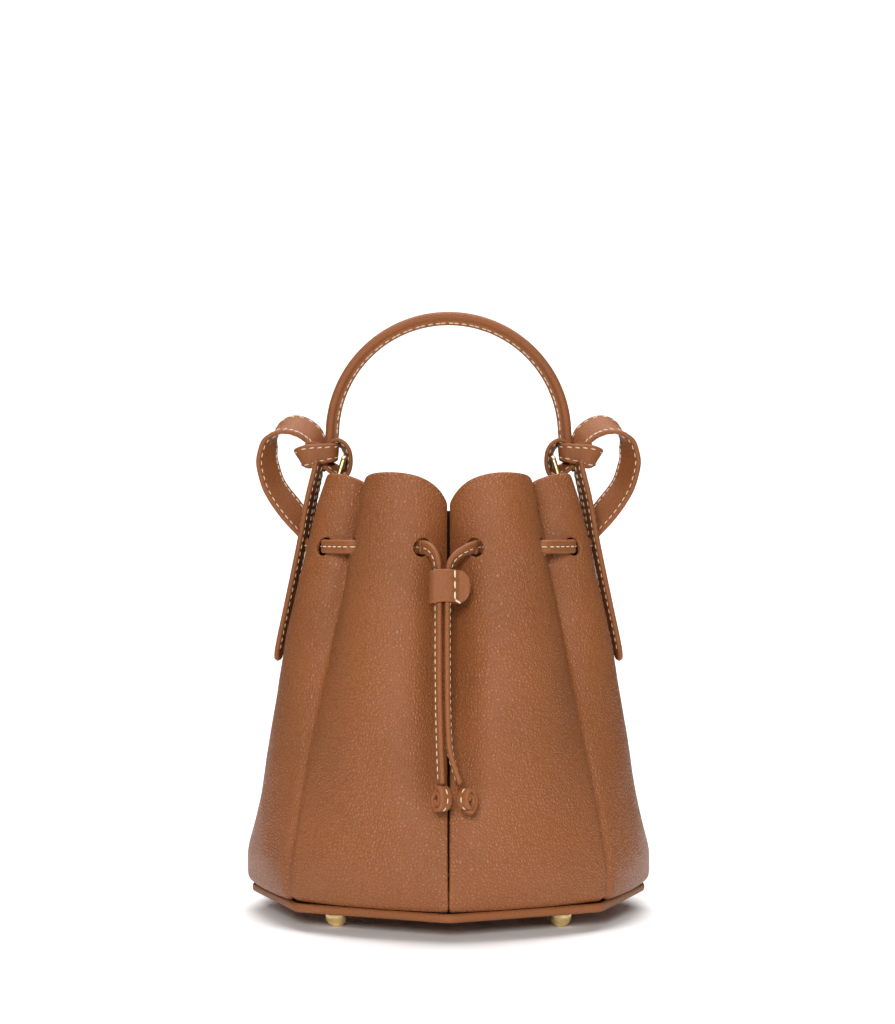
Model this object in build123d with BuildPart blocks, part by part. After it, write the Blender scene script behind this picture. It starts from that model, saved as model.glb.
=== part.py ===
"""Bucket bag: a fluted leather body on an octagonal base, gathered by a drawcord, with a rolled
handle knotted to a ring at each side.

Millimetres, +Z up, front towards -Y. The origin is on the ground, under the middle of the base.
"""

import math
import os

from build123d import *

# ---- driving dimensions ---------------------------------------------------------------------
LEATHER = 2.4  # body wall, two plies
LINING = 0.8
GAP = 0.1  # between pieces that lie on each other in one body
CLEAR = 0.3  # between pieces that move past each other

FOOT_RADIUS = 5.2
FOOT_CENTRE_Z = 5.0  # a little under the radius, so that each foot has a small flat
FOOT_CIRCLE = 75.0  # distance of the feet from the bag's axis
STUD_RADIUS = 1.25
WASHER_RADIUS = 4.2
WASHER_THICK = 0.8
NUT_RADIUS = 2.6
NUT_THICK = 1.4

BASE_Z = 8.5  # underside of the base
BASE_LEATHER = 1.8
BOARD_THICK = 3.4
BOARD_INSET = 2.2  # how much smaller the board is than the space inside the rim
RIM_RADIUS = 97.6  # corners of the octagonal rim
RIM_HEIGHT = 4.3
RIM_WIDTH = 5.2
RIM_CORNER = 47.5  # direction of the rim's second corner, from the front
RIM_ROUND = 1.4

FOLD_ANGLE = 50.7  # direction of the fold between a front flute and a side flute
BASE_SIDE = 100.0  # corner radius that the flutes' lengths are scaled from
SEAM_GAP = 0.3  # half the gap between two panels
TOP_Z = 214.0
# height, radius of the valleys, length scale of the flutes, radius and half width of the flat
# strip at the bag's side, where the ring's tab is sewn
STATIONS = [
    (12.95, 94.6, 0.952, 94.6, 0.8),
    (17.5, 98.0, 0.985, 99.4, 0.8),
    (30.0, 98.0, 0.998, 99.4, 1.0),
    (60.0, 90.7, 0.948, 90.9, 2.5),
    (100.0, 80.2, 0.906, 81.2, 5.0),
    (140.0, 69.0, 0.891, 71.5, 7.0),
    (175.0, 58.5, 0.871, 62.5, 8.5),
    (200.0, 52.2, 0.835, 54.8, 8.5),
    (TOP_Z, 46.4, 0.820, 50.5, 8.5),
]
STRIP_HALF_WIDTH = 8.5
CUSP_DEPTH = 1.4  # depth of the wall at a valley, in wall thicknesses
ARC_TRIM = 0.06  # share of a flute's arc that its inner face lacks at each end
SEAM_NOTCH = (17.0, 20.0)  # dip of the top edge at the front and back seams, and its half width
FOLD_NOTCH = (8.0, 20.0)
NOTCH_BEND = (0.3, 0.44)  # shares of half width and dip at the middle of a notch's arc

CORD_Z = 179.5  # height of the drawcord and of the holes it runs through
HOLE_RADIUS = 4.4
HOLE_FROM_VALLEY = 16.3  # along the leather
HOLE_FROM_STRIP = 10.0
CORD_WIDTH = 6.6
CORD_THICK = 2.4
CORD_INSIDE = 5.5  # how far the drawcord runs in and out of a hole before it turns
CORD_OUTSIDE = 4.0
CORD_BEND = 3.0

STRAP_THICK = 2.5
RING_WIRE = 1.35
RING_TOP = (-51.4, 222.7)  # centre of the ring's upper bar, x and z
RING_LEAN = math.radians(16.6)
RING_HEIGHT = 19.0  # between the centres of its bars
RING_INNER_WIDTH = 13.0
RING_CORNER = 2.2
TAB_THICK = 1.4
TAB_WIDTH = 11.0
TAB_LEG = 15.0

HANDLE_RADIUS = 58.6
HANDLE_CENTRE_Z = 234.3
HANDLE_TUBE = 2.35
HANDLE_CORE = 1.3
HANDLE_HINGE_Z = 236.0
FLANGE_LENGTH = 2.8
FLANGE_THICK = 2.0
FLANGE_SINK = 0.6  # how far the flange goes into the roll
FLANGE_SET_BACK = 5.0  # degrees from the handle's end
CORE_SET_BACK = 3.0
NECK_RADIUS = 2.1  # where the handle's end comes out of the knot
NECK_X = 60.4

WRAP_CENTRE = (-65.2, 224.2)
WRAP_LENGTH = 22.0
WRAP_DEPTH = 14.0
WRAP_HEIGHT = 12.6
WRAP_TILT = math.radians(9.0)  # the outer end hangs lower
WRAP_CORNER = 5.0

# centre lines of the straps in the bag's side plane, left side, x and z
BOW_ROUTE = [
    (-66.5, 232.8),
    (-74.5, 239.6),
    (-83.6, 237.4),
    (-90.5, 230.0),
    (-93.6, 220.5),
    (-92.0, 208.5),
    (-86.6, 197.4),
    (-80.0, 188.0),
    (-75.2, 182.2),
    (-71.9, 185.8),
    (-69.2, 200.0),
    (-66.2, 214.2),
]
BOW_WIDTH = 15.0
BOW_Y = 5.2  # middle of the bow, a little behind the tail
TAIL_ROUTE = [(-70.0, 215.4), (-72.4, 200.0), (-75.2, 176.0), (-80.6, 148.0), (-85.0, 124.4)]
TAIL_WIDTH = 13.0
TAIL_Y = -9.2
EYE_INNER_X = -49.7
EYE_THICK = 2.3
EYE_TOP_Z = 232.6
EYE_BOTTOM_Z = 213.0
EYE_START_X = -52.7
EYE_WIDTH = 11.0

LACE_DIAMETER = 3.6  # the free ends, as a round tube
LACE_START = 1.4  # how far out of its hole a free end starts
HELD_END = 0.9  # how far inside its hole the held cord ends
SLOPE = math.radians(11.0)  # the free ends lean outwards with the body
LACE_LINE = (-79.0, 166.0)  # a point, y and z, on the line that both free ends hang along
SLIDER_TOP_Z = 168.9
SLIDER_HEIGHT = 15.3
SLIDER_X = (-7.5, 2.5)  # the way through for both laces
SLIDER_DEPTH = 7.6
SLIDER_WALL = 1.3
SLIDER_CORNER = 3.0
SLIDER_TAB = 6.8
SLIDER_TAB_THICK = 3.0
SLIDER_TAB_ROUND = 4.5
END_KNOT_WIDTH = 10.7
END_KNOT_HEIGHT = 13.4
END_KNOT_DEPTH = 8.0
END_KNOT_CORNER = 4.35
END_KNOT_ROUND = 3.0
END_KNOT_SHIFT = {"left": 0.3, "right": 2.9}  # sideways from the lace's end

TOOL = 300.0  # size of cutting tools that reach past the whole bag
HOLE_TOOL = 18.0

os.makedirs("parts", exist_ok=True)


def save(builder, name):
    """Labels a finished piece and writes its STEP file."""
    builder.part.label = name
    export_step(builder.part, f"parts/{name}.step")


def corner_radii(route):
    """The radius of the arc at each inner point: as large as the two runs beside it allow."""
    radii = []
    for before, here, after in zip(route, route[1:], route[2:]):
        inwards, outwards = Vector(*here) - Vector(*before), Vector(*after) - Vector(*here)
        turn = math.radians(inwards.get_angle(outwards))
        radii.append(0.45 * min(inwards.length, outwards.length) / math.tan(turn / 2))
    return radii


# ---- the fluted cross-section ---------------------------------------------------------------
def at_height(z):
    """The station's values at a height, straight between the listed ones."""
    for low, high in zip(STATIONS, STATIONS[1:]):
        if z <= high[0]:
            share = (z - low[0]) / (high[0] - low[0])
            return [a + share * (b - a) for a, b in zip(low, high)]
    return list(STATIONS[-1])


def half_span(chord, length):
    """Half the angle of the circular arc of that length over that chord, by bisection."""
    low, high = 1e-4, math.pi - 1e-4
    for _ in range(60):
        middle = (low + high) / 2
        if math.sin(middle) / middle > chord / length:
            low = middle
        else:
            high = middle
    return low


def flute(z, half_angle):
    """Distance of a flute's crest from the bag's axis, and half the angle of its arc."""
    valley, scale = at_height(z)[1:3]
    chord = 2 * valley * math.sin(half_angle)
    length = 2 * BASE_SIDE * math.sin(half_angle) * scale
    span = half_span(chord, length)
    radius = length / 2 / span
    return valley * math.cos(half_angle) + radius * (1 - math.cos(span)), span


def polar(radius, degrees):
    """A point at an angle from the front, turning to the left."""
    a = math.radians(degrees)
    return (-radius * math.sin(a), -radius * math.cos(a))


FRONT_HALF = math.radians(FOLD_ANGLE / 2)
SIDE_HALF = math.radians((90 - FOLD_ANGLE) / 2)


def flute_points(z):
    """Front left quarter: the points of its two flutes' arcs, and the end of its flat strip."""
    _, valley, _, strip_radius, strip_half = at_height(z)
    front_crest, _ = flute(z, FRONT_HALF)
    side_crest, _ = flute(z, SIDE_HALF)
    side_crest += strip_half / STRIP_HALF_WIDTH
    seam, fold = (-SEAM_GAP, -valley), polar(valley, FOLD_ANGLE)
    corner = (-strip_radius, -strip_half)
    front = (seam, polar(front_crest, FOLD_ANGLE / 2), fold)
    side = (fold, polar(side_crest, (90 + FOLD_ANGLE) / 2), corner)
    return front, side, (-strip_radius, -SEAM_GAP)


def sunk_arc(points, depth):
    """The arc moved towards its centre by depth, and a little shorter at both ends."""
    arc = ThreePointArc(*points, mode=Mode.PRIVATE)
    sunk = []
    for share in (ARC_TRIM, 0.5, 1 - ARC_TRIM):
        point = arc @ share + (arc.arc_center - arc @ share).normalized() * depth
        sunk.append((point.X, point.Y))
    return sunk


def outline(z, depth):
    """Front left quarter's arcs and lines, from the front seam to the middle of the strip."""
    front, side, strip = flute_points(z)
    if depth == 0:
        return [front, side, (side[2], strip)]
    _, valley, _, strip_radius, strip_half = at_height(z)
    cusp = valley - depth * CUSP_DEPTH
    seam, fold = (-SEAM_GAP, -cusp), polar(cusp, FOLD_ANGLE)
    corner = (depth - strip_radius, -strip_half - depth * strip_half / STRIP_HALF_WIDTH)
    front_arc, side_arc = sunk_arc(front, depth), sunk_arc(side, depth)
    return [
        (seam, front_arc[0]),
        front_arc,
        (front_arc[2], fold),
        (fold, side_arc[0]),
        side_arc,
        (side_arc[2], corner),
        (corner, (depth - strip_radius, -SEAM_GAP)),
    ]


def wall_section(z, outer, inner, side, end):
    """One closed section of a quarter wall, side 1 left or -1 right, end 1 front or -1 back."""

    def draw(points):
        placed = [(side * x, end * y) for x, y in points]
        return ThreePointArc(*placed) if len(placed) == 3 else Line(*placed)

    with BuildSketch(Plane.XY.offset(z)) as sketch:
        with BuildLine():
            outside, inside = outline(z, outer), outline(z, inner)
            for points in outside + inside:
                draw(points)
            draw((outside[0][0], inside[0][0]))
            draw((outside[-1][-1], inside[-1][-1]))
        make_face()
    return sketch.sketch


def hole_at(points, from_end, distance):
    """Point and outward direction on a flute's arc, that far along it from one of its ends."""
    arc = ThreePointArc(*points, mode=Mode.PRIVATE)
    share = distance / arc.length if from_end == 0 else 1 - distance / arc.length
    place, along = arc @ share, arc % share
    way = (along.Y, -along.X)
    sign = 1 if place.X * way[0] + place.Y * way[1] > 0 else -1
    return (place.X, place.Y), (sign * way[0], sign * way[1])


def quarter_holes():
    """The front left quarter's holes, from the front seam to the side."""
    front, side, _ = flute_points(CORD_Z)
    return [
        hole_at(front, 0, HOLE_FROM_VALLEY),
        hole_at(front, 1, HOLE_FROM_VALLEY),
        hole_at(side, 0, HOLE_FROM_VALLEY),
        hole_at(side, 1, HOLE_FROM_STRIP),
    ]


def notch(degrees, dip, reach):
    """The shape cut from the top edge at a valley, from the axis outwards."""
    a = math.radians(degrees)
    outwards = (-math.sin(a), -math.cos(a), 0)
    plane = Plane(origin=(0, 0, TOP_Z), x_dir=(math.cos(a), -math.sin(a), 0), z_dir=outwards)
    up = 1 if plane.y_dir.Z > 0 else -1
    with BuildPart() as tool:
        with BuildSketch(plane):
            with BuildLine():
                for sign in (-1, 1):
                    middle = (sign * NOTCH_BEND[0] * reach, -NOTCH_BEND[1] * dip * up)
                    ThreePointArc((0, -dip * up), middle, (sign * reach, 0))
                    Line((sign * reach, 0), (sign * reach, dip * up))
                Line((-reach, dip * up), (reach, dip * up))
            make_face()
        extrude(amount=TOOL / 2)
    return tool.part


NOTCHES = [notch(0, *SEAM_NOTCH), notch(180, *SEAM_NOTCH)]
NOTCHES += [notch(a, *FOLD_NOTCH) for a in (90, -90)]
NOTCHES += [notch(s * a, *FOLD_NOTCH) for s in (1, -1) for a in (FOLD_ANGLE, 180 - FOLD_ANGLE)]


def wall(outer, inner, side, end, low):
    """A quarter of the body wall between two depths under the outer surface, with its holes."""
    with BuildPart() as quarter:
        for z in [low] + [row[0] for row in STATIONS if row[0] > low + 1]:
            add(wall_section(z, outer, inner, side, end))
        loft(ruled=True)
        for tool in NOTCHES:
            add(tool, mode=Mode.SUBTRACT)
        for (x, y), (dx, dy) in quarter_holes():
            with BuildSketch(Plane((side * x, end * y, CORD_Z), z_dir=(side * dx, end * dy, 0))):
                Circle(HOLE_RADIUS)
            extrude(amount=HOLE_TOOL / 2, both=True, mode=Mode.SUBTRACT)
    return quarter


QUARTERS = {
    "front_left": (1, 1),
    "front_right": (-1, 1),
    "back_left": (1, -1),
    "back_right": (-1, -1),
}
LINING_OUTER = LEATHER + GAP
LINING_BOTTOM = BASE_Z + BASE_LEATHER + BOARD_THICK + LINING + 3 * GAP
for name, quarter in QUARTERS.items():
    save(wall(0.0, LEATHER, *quarter, low=STATIONS[0][0]), f"panel_{name}")
    save(wall(LINING_OUTER, LINING_OUTER + LINING, *quarter, low=LINING_BOTTOM), f"lining_{name}")


# ---- base -----------------------------------------------------------------------------------
def octagon(radius):
    """Corners of the base's outline at that corner radius."""
    quarter = [0, RIM_CORNER, 90, 180 - RIM_CORNER]
    return [polar(radius, turn + a) for turn in (0, 180) for a in quarter]


FOOT_PLACES = [polar(FOOT_CIRCLE, a) for a in (45, 135, 225, 315)]
BASE_TOP = BASE_Z + BASE_LEATHER
BOARD_Z = BASE_TOP + GAP
BOARD_TOP = BOARD_Z + BOARD_THICK
INNER_RADIUS = RIM_RADIUS - RIM_WIDTH
BOARD_RADIUS = INNER_RADIUS - BOARD_INSET
WELL_Z = BOARD_TOP - WASHER_THICK - NUT_THICK - 3 * GAP
STUD_TOP = WELL_Z + WASHER_THICK + NUT_THICK + GAP

with BuildPart() as base_rim:
    with BuildSketch(Plane.XY.offset(BASE_Z)):
        Polygon(*octagon(RIM_RADIUS), align=None)
    extrude(amount=RIM_HEIGHT)
    level = base_rim.edges().filter_by(Plane.XY)
    fillet(level, radius=RIM_ROUND)
    with BuildSketch(Plane.XY.offset(BASE_Z)):
        Polygon(*octagon(INNER_RADIUS), align=None)
    extrude(amount=RIM_HEIGHT, mode=Mode.SUBTRACT)
save(base_rim, "base_rim")

with BuildPart() as base_panel:
    with BuildSketch(Plane.XY.offset(BASE_Z)):
        Polygon(*octagon(INNER_RADIUS - GAP), align=None)
        with Locations(*FOOT_PLACES):
            Circle(STUD_RADIUS + GAP, mode=Mode.SUBTRACT)
    extrude(amount=BASE_LEATHER)
save(base_panel, "base_panel")

with BuildPart() as base_board:
    with BuildSketch(Plane.XY.offset(BOARD_Z)):
        Polygon(*octagon(BOARD_RADIUS), align=None)
    extrude(amount=BOARD_THICK)
    with Locations(*[(x, y, BOARD_TOP) for x, y in FOOT_PLACES]):
        CounterBoreHole(STUD_RADIUS + GAP, WASHER_RADIUS + GAP, BOARD_TOP - WELL_Z)
save(base_board, "base_board")

with BuildPart() as lining_floor:
    with BuildSketch(Plane.XY.offset(BOARD_TOP + GAP)):
        Polygon(*octagon(BOARD_RADIUS), align=None)
    extrude(amount=LINING)
save(lining_floor, "lining_floor")

with BuildPart() as feet:
    with Locations(*[(x, y, FOOT_CENTRE_Z) for x, y in FOOT_PLACES]):
        Sphere(FOOT_RADIUS)
    Box(TOOL, TOOL, TOOL, align=(Align.CENTER, Align.CENTER, Align.MAX), mode=Mode.SUBTRACT)
    with Locations((0, 0, BASE_Z - GAP)):
        Box(TOOL, TOOL, TOOL, align=(Align.CENTER, Align.CENTER, Align.MIN), mode=Mode.SUBTRACT)
    with BuildSketch(Plane.XY.offset(FOOT_CENTRE_Z)):
        with Locations(*FOOT_PLACES):
            Circle(STUD_RADIUS)
    extrude(amount=STUD_TOP - FOOT_CENTRE_Z)
save(feet, "feet")

with BuildPart() as foot_washers:
    with BuildSketch(Plane.XY.offset(WELL_Z + GAP)):
        with Locations(*FOOT_PLACES):
            Circle(WASHER_RADIUS)
            Circle(STUD_RADIUS + GAP, mode=Mode.SUBTRACT)
    extrude(amount=WASHER_THICK)
save(foot_washers, "foot_washers")

with BuildPart() as foot_nuts:
    with BuildSketch(Plane.XY.offset(WELL_Z + WASHER_THICK + GAP)):
        with Locations(*FOOT_PLACES):
            RegularPolygon(NUT_RADIUS, 6)
            Circle(STUD_RADIUS + GAP, mode=Mode.SUBTRACT)
    extrude(amount=NUT_THICK)
save(foot_nuts, "foot_nuts")


# ---- drawcord, held all the way round -------------------------------------------------------
def off_hole(hole, distance):
    """The point that far out along a hole's axis, at the drawcord's height."""
    (x, y), (dx, dy) = hole
    return (x + distance * dx, y + distance * dy, CORD_Z)


def whole_ring(holes):
    """All sixteen holes in order, from the front left one round the back to the front right."""
    left = holes + [((x, -y), (dx, -dy)) for (x, y), (dx, dy) in reversed(holes)]
    return left + [((-x, y), (-dx, dy)) for (x, y), (dx, dy) in reversed(left)]


HOLES = whole_ring(quarter_holes())


with BuildPart() as drawcord:
    with BuildLine() as held:
        points = [off_hole(HOLES[0], -HELD_END)]
        for number, hole in enumerate(HOLES):
            inwards, outwards = off_hole(hole, -CORD_INSIDE), off_hole(hole, CORD_OUTSIDE)
            points += [outwards, inwards] if number % 2 == 0 else [inwards, outwards]
        points = [points[0]] + points[2:-1] + [off_hole(HOLES[-1], -HELD_END)]
        FilletPolyline(*points, radius=CORD_BEND)
    start = Plane(origin=held.line @ 0, x_dir=(0, 0, 1), z_dir=held.line % 0)
    with BuildSketch(start):
        Rectangle(CORD_WIDTH, CORD_THICK)
    sweep()
save(drawcord, "drawcord")


# ---- rings and their tabs -------------------------------------------------------------------
def ring_plane(side):
    """The plane that a ring lies in: x along the bag's depth, y up along the ring."""
    down = (-side * math.sin(RING_LEAN), 0, -math.cos(RING_LEAN))
    x_dir = Vector(0, side, 0)
    top = (side * RING_TOP[0], 0, RING_TOP[1])
    return Plane(origin=top, x_dir=x_dir, z_dir=x_dir.cross(-Vector(*down)))


def ring(side):
    """A rounded rectangular ring of round wire, leaning inwards."""
    half = RING_INNER_WIDTH / 2 + RING_WIRE
    with BuildPart() as loop:
        with BuildLine(ring_plane(side)) as path:
            corners = [(-half, 0), (half, 0), (half, -RING_HEIGHT), (-half, -RING_HEIGHT)]
            FilletPolyline(*corners, radius=RING_CORNER, close=True)
        with BuildSketch(Plane(origin=path.line @ 0, z_dir=path.line % 0)):
            Circle(RING_WIRE)
        sweep()
    return loop


def ring_tab(side):
    """The leather loop round the ring's lower bar, with two legs sewn flat to the bag's side."""
    inner = RING_WIRE + CLEAR
    plane = ring_plane(side)
    bottom = plane.from_local_coords(Vector(0, -RING_HEIGHT, 0))
    across = Plane(origin=bottom, x_dir=plane.y_dir, z_dir=plane.x_dir)
    with BuildPart() as tab:
        with BuildSketch(across):
            Circle(inner + TAB_THICK)
            Rectangle(TAB_LEG, 2 * TAB_THICK, align=(Align.MAX, Align.CENTER))
            Circle(inner, mode=Mode.SUBTRACT)
        extrude(amount=TAB_WIDTH / 2, both=True)
    return tab


# ---- handle ---------------------------------------------------------------------------------
START_ANGLE = math.degrees(math.asin((HANDLE_HINGE_Z - HANDLE_CENTRE_Z) / HANDLE_RADIUS))
HINGE_X = math.sqrt(HANDLE_RADIUS**2 - (HANDLE_HINGE_Z - HANDLE_CENTRE_Z) ** 2)
ARCH_AXIS = Axis((0, 0, HANDLE_CENTRE_Z), (0, -1, 0))


def arch_plane(degrees):
    """The plane across the handle at that angle up from the right end, x away from its centre."""
    a = math.radians(degrees)
    way = (math.cos(a), 0, math.sin(a))
    return Plane(origin=(0, 0, HANDLE_CENTRE_Z), x_dir=way, z_dir=(-math.sin(a), 0, math.cos(a)))


FLANGE_START = START_ANGLE + FLANGE_SET_BACK
CORE_START = START_ANGLE + CORE_SET_BACK
with BuildPart() as handle:
    with BuildSketch(arch_plane(START_ANGLE)):
        with Locations((HANDLE_RADIUS, 0)):
            Circle(HANDLE_TUBE)
    revolve(axis=ARCH_AXIS, revolution_arc=180 - 2 * START_ANGLE)
    with BuildSketch(arch_plane(FLANGE_START)):
        with Locations((HANDLE_RADIUS - HANDLE_TUBE + FLANGE_SINK, 0)):
            Rectangle(FLANGE_LENGTH, FLANGE_THICK, align=(Align.MAX, Align.CENTER))
    revolve(axis=ARCH_AXIS, revolution_arc=180 - 2 * FLANGE_START)
    with Locations((-HINGE_X, 0, HANDLE_HINGE_Z), (HINGE_X, 0, HANDLE_HINGE_Z)):
        Sphere(HANDLE_TUBE)
    with BuildSketch(arch_plane(CORE_START)):
        with Locations((HANDLE_RADIUS, 0)):
            Circle(HANDLE_CORE + GAP)
    revolve(axis=ARCH_AXIS, revolution_arc=180 - 2 * CORE_START, mode=Mode.SUBTRACT)
save(handle, "handle")

with BuildPart() as handle_core:
    with BuildSketch(arch_plane(CORE_START + GAP)):
        with Locations((HANDLE_RADIUS, 0)):
            Circle(HANDLE_CORE)
    revolve(axis=ARCH_AXIS, revolution_arc=180 - 2 * (CORE_START + GAP))
save(handle_core, "handle_core")


# ---- knots, bows and tails ------------------------------------------------------------------
SIDE_PLANE = Plane(origin=(0, 0, 0), x_dir=(1, 0, 0), z_dir=(0, -1, 0))


def wrap_plane(side):
    """Plane across the knot's band, at its middle height."""
    return Plane(
        origin=(side * WRAP_CENTRE[0], 0, WRAP_CENTRE[1]),
        x_dir=(side * math.cos(WRAP_TILT), 0, math.sin(WRAP_TILT)),
        z_dir=(-side * math.sin(WRAP_TILT), 0, math.cos(WRAP_TILT)),
    )


def knot_band(side):
    """The band of the knot, pulled tight round the other straps."""
    with BuildPart() as band:
        with BuildSketch(wrap_plane(side)):
            RectangleRounded(WRAP_LENGTH, WRAP_DEPTH, WRAP_CORNER)
            size = (WRAP_LENGTH - 2 * STRAP_THICK, WRAP_DEPTH - 2 * STRAP_THICK)
            RectangleRounded(*size, WRAP_CORNER - STRAP_THICK, mode=Mode.SUBTRACT)
        extrude(amount=WRAP_HEIGHT / 2, both=True)
    return band


def handle_end(side):
    """The handle's end, gathered flat inside the knot and rolled where it comes out."""
    inner = STRAP_THICK + GAP
    with BuildPart() as end:
        with BuildSketch(wrap_plane(side)):
            size = (WRAP_LENGTH - 2 * inner, WRAP_DEPTH - 2 * inner)
            RectangleRounded(*size, WRAP_CORNER - inner)
        extrude(amount=WRAP_HEIGHT / 2 - GAP, both=True)
        with BuildSketch(Plane.XY.offset(WRAP_CENTRE[1])):
            with Locations((-side * NECK_X, 0)):
                Circle(NECK_RADIUS)
        extrude(amount=HANDLE_HINGE_Z - HANDLE_TUBE - CLEAR - WRAP_CENTRE[1])
    return end


def strap(side, route, width, middle_y):
    """A flat strap along a route in the bag's side plane, its middle at middle_y."""
    points = [(side * x, middle_y, z) for x, z in route]
    with BuildPart() as band:
        with BuildLine() as path:
            FilletPolyline(*points, radius=corner_radii(points))
        across = Plane(origin=path.line @ 0, x_dir=(0, 1, 0), z_dir=path.line % 0)
        with BuildSketch(across):
            Rectangle(width, STRAP_THICK)
        sweep()
    return band


def ring_eye(side):
    """The strap's loop round the ring's upper bar, from the knot and back under it."""
    width = EYE_INNER_X + EYE_THICK - EYE_START_X
    height = EYE_TOP_Z - EYE_BOTTOM_Z
    outer = EYE_INNER_X + EYE_THICK
    middle = (EYE_TOP_Z + EYE_BOTTOM_Z) / 2
    with BuildPart() as band:
        with BuildSketch(SIDE_PLANE):
            with Locations((side * (outer - width / 2), middle)):
                Rectangle(width, height)
        extrude(amount=EYE_WIDTH / 2, both=True)
        round_edges = band.edges().filter_by(Axis.Y).sort_by(Axis.X)
        round_edges = round_edges[-2:] if side == 1 else round_edges[:2]
        fillet(round_edges, radius=EYE_THICK)
        inner_height = height - 2 * EYE_THICK
        with BuildSketch(SIDE_PLANE):
            with Locations((side * (outer - EYE_THICK - width / 2), middle)):
                Rectangle(width, inner_height)
        extrude(amount=EYE_WIDTH, both=True, mode=Mode.SUBTRACT)
    return band


for name, side in (("left", 1), ("right", -1)):
    save(ring(side), f"ring_{name}")
    save(ring_tab(side), f"ring_tab_{name}")
    save(knot_band(side), f"knot_band_{name}")
    save(handle_end(side), f"handle_end_{name}")
    save(strap(side, BOW_ROUTE, BOW_WIDTH, BOW_Y), f"bow_{name}")
    save(strap(side, TAIL_ROUTE, TAIL_WIDTH, TAIL_Y), f"tail_{name}")
    save(ring_eye(side), f"ring_eye_{name}")


# ---- free ends of the drawcord, their slider and their knots --------------------------------
def lace_y(z):
    """How far forward the hanging laces' line is at a height."""
    return LACE_LINE[0] - (LACE_LINE[1] - z) * math.tan(SLOPE)


(exit_x, exit_y), (way_x, way_y) = quarter_holes()[0]
EXIT_X = exit_x + LACE_START * way_x
EXIT_Y = exit_y + LACE_START * way_y
# routes of the free ends, from the hole to the end knot
LEFT_LACE = [
    (EXIT_X, EXIT_Y, CORD_Z),
    (-8.9, -74.6, 179.3),
    (-5.6, -77.2, 174.5),
    (-5.1, *LACE_LINE),
    (-5.0, lace_y(97.0), 97.0),
    (-3.6, lace_y(72.0), 72.0),
]
RIGHT_LACE = [
    (-EXIT_X, EXIT_Y, CORD_Z),
    (8.9, -74.6, 179.3),
    (1.2, -77.4, 174.2),
    (-0.5, *LACE_LINE),
    (-0.4, lace_y(92.0), 92.0),
    (1.8, lace_y(81.0), 81.0),
    (5.2, lace_y(72.0), 72.0),
]


for name, route in (("left", LEFT_LACE), ("right", RIGHT_LACE)):
    radii = corner_radii(route)
    with BuildPart() as lace:
        with BuildLine() as path:
            FilletPolyline(*route, radius=radii)
        with BuildSketch(Plane(origin=path.line @ 0, z_dir=path.line % 0)):
            Circle(LACE_DIAMETER / 2)
        sweep()
    save(lace, f"lace_{name}")
    section = math.pi * LACE_DIAMETER**2 / 4
    length = path.wires()[0].length
    print(name, "lace radii", [round(r, 1) for r in radii], "length", round(length, 1))
    print("  volume over section times length", round(lace.part.volume / section / length, 4))

    end_x, _, end_z = route[-1]
    knot_z = end_z - GAP - END_KNOT_HEIGHT / 2
    with BuildPart() as end_knot:
        knot_middle = (end_x + END_KNOT_SHIFT[name], lace_y(knot_z), knot_z)
        with BuildSketch(Plane(origin=knot_middle, x_dir=(1, 0, 0), z_dir=(0, -1, 0))):
            RectangleRounded(END_KNOT_WIDTH, END_KNOT_HEIGHT, END_KNOT_CORNER)
        extrude(amount=END_KNOT_DEPTH / 2, both=True)
        caps = end_knot.faces().filter_by(Axis.Y).edges()
        fillet(caps, radius=END_KNOT_ROUND)
    save(end_knot, f"lace_knot_{name}")

slider_top = Plane(
    origin=(0, lace_y(SLIDER_TOP_Z), SLIDER_TOP_Z),
    x_dir=(1, 0, 0),
    z_dir=(0, -math.sin(SLOPE), -math.cos(SLOPE)),
)
SLIDER_MIDDLE = (SLIDER_X[0] + SLIDER_X[1]) / 2
SLIDER_WAY = SLIDER_X[1] - SLIDER_X[0]
with BuildPart() as cord_slider:
    with BuildSketch(slider_top):
        with Locations((SLIDER_MIDDLE, 0)):
            size = (SLIDER_WAY + 2 * SLIDER_WALL, SLIDER_DEPTH + 2 * SLIDER_WALL)
            RectangleRounded(*size, SLIDER_CORNER)
        with Locations((SLIDER_X[1] + SLIDER_WALL / 2, 0)):
            Rectangle(
                SLIDER_TAB + SLIDER_WALL / 2, SLIDER_TAB_THICK, align=(Align.MIN, Align.CENTER)
            )
        with Locations((SLIDER_MIDDLE, 0)):
            inner_corner = SLIDER_CORNER - SLIDER_WALL
            RectangleRounded(SLIDER_WAY, SLIDER_DEPTH, inner_corner, mode=Mode.SUBTRACT)
    extrude(amount=SLIDER_HEIGHT)
    through = cord_slider.edges().filter_by(Axis(slider_top.origin, slider_top.y_dir))
    fillet(through.sort_by(Axis.X)[-2:], radius=SLIDER_TAB_ROUND)
save(cord_slider, "cord_slider")
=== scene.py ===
"""Bucket bag: pebbled leather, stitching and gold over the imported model, in its own frame.

Sizes in the lists and driving values are millimetres; every mesh is made in metres.
The front faces -Y, and the left side of the picture is -X.
"""

import bisect
import functools
from math import atan2, copysign, cos, dist, exp, pi, radians, sin, sqrt

import bmesh
import bpy
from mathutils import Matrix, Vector, noise


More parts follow.
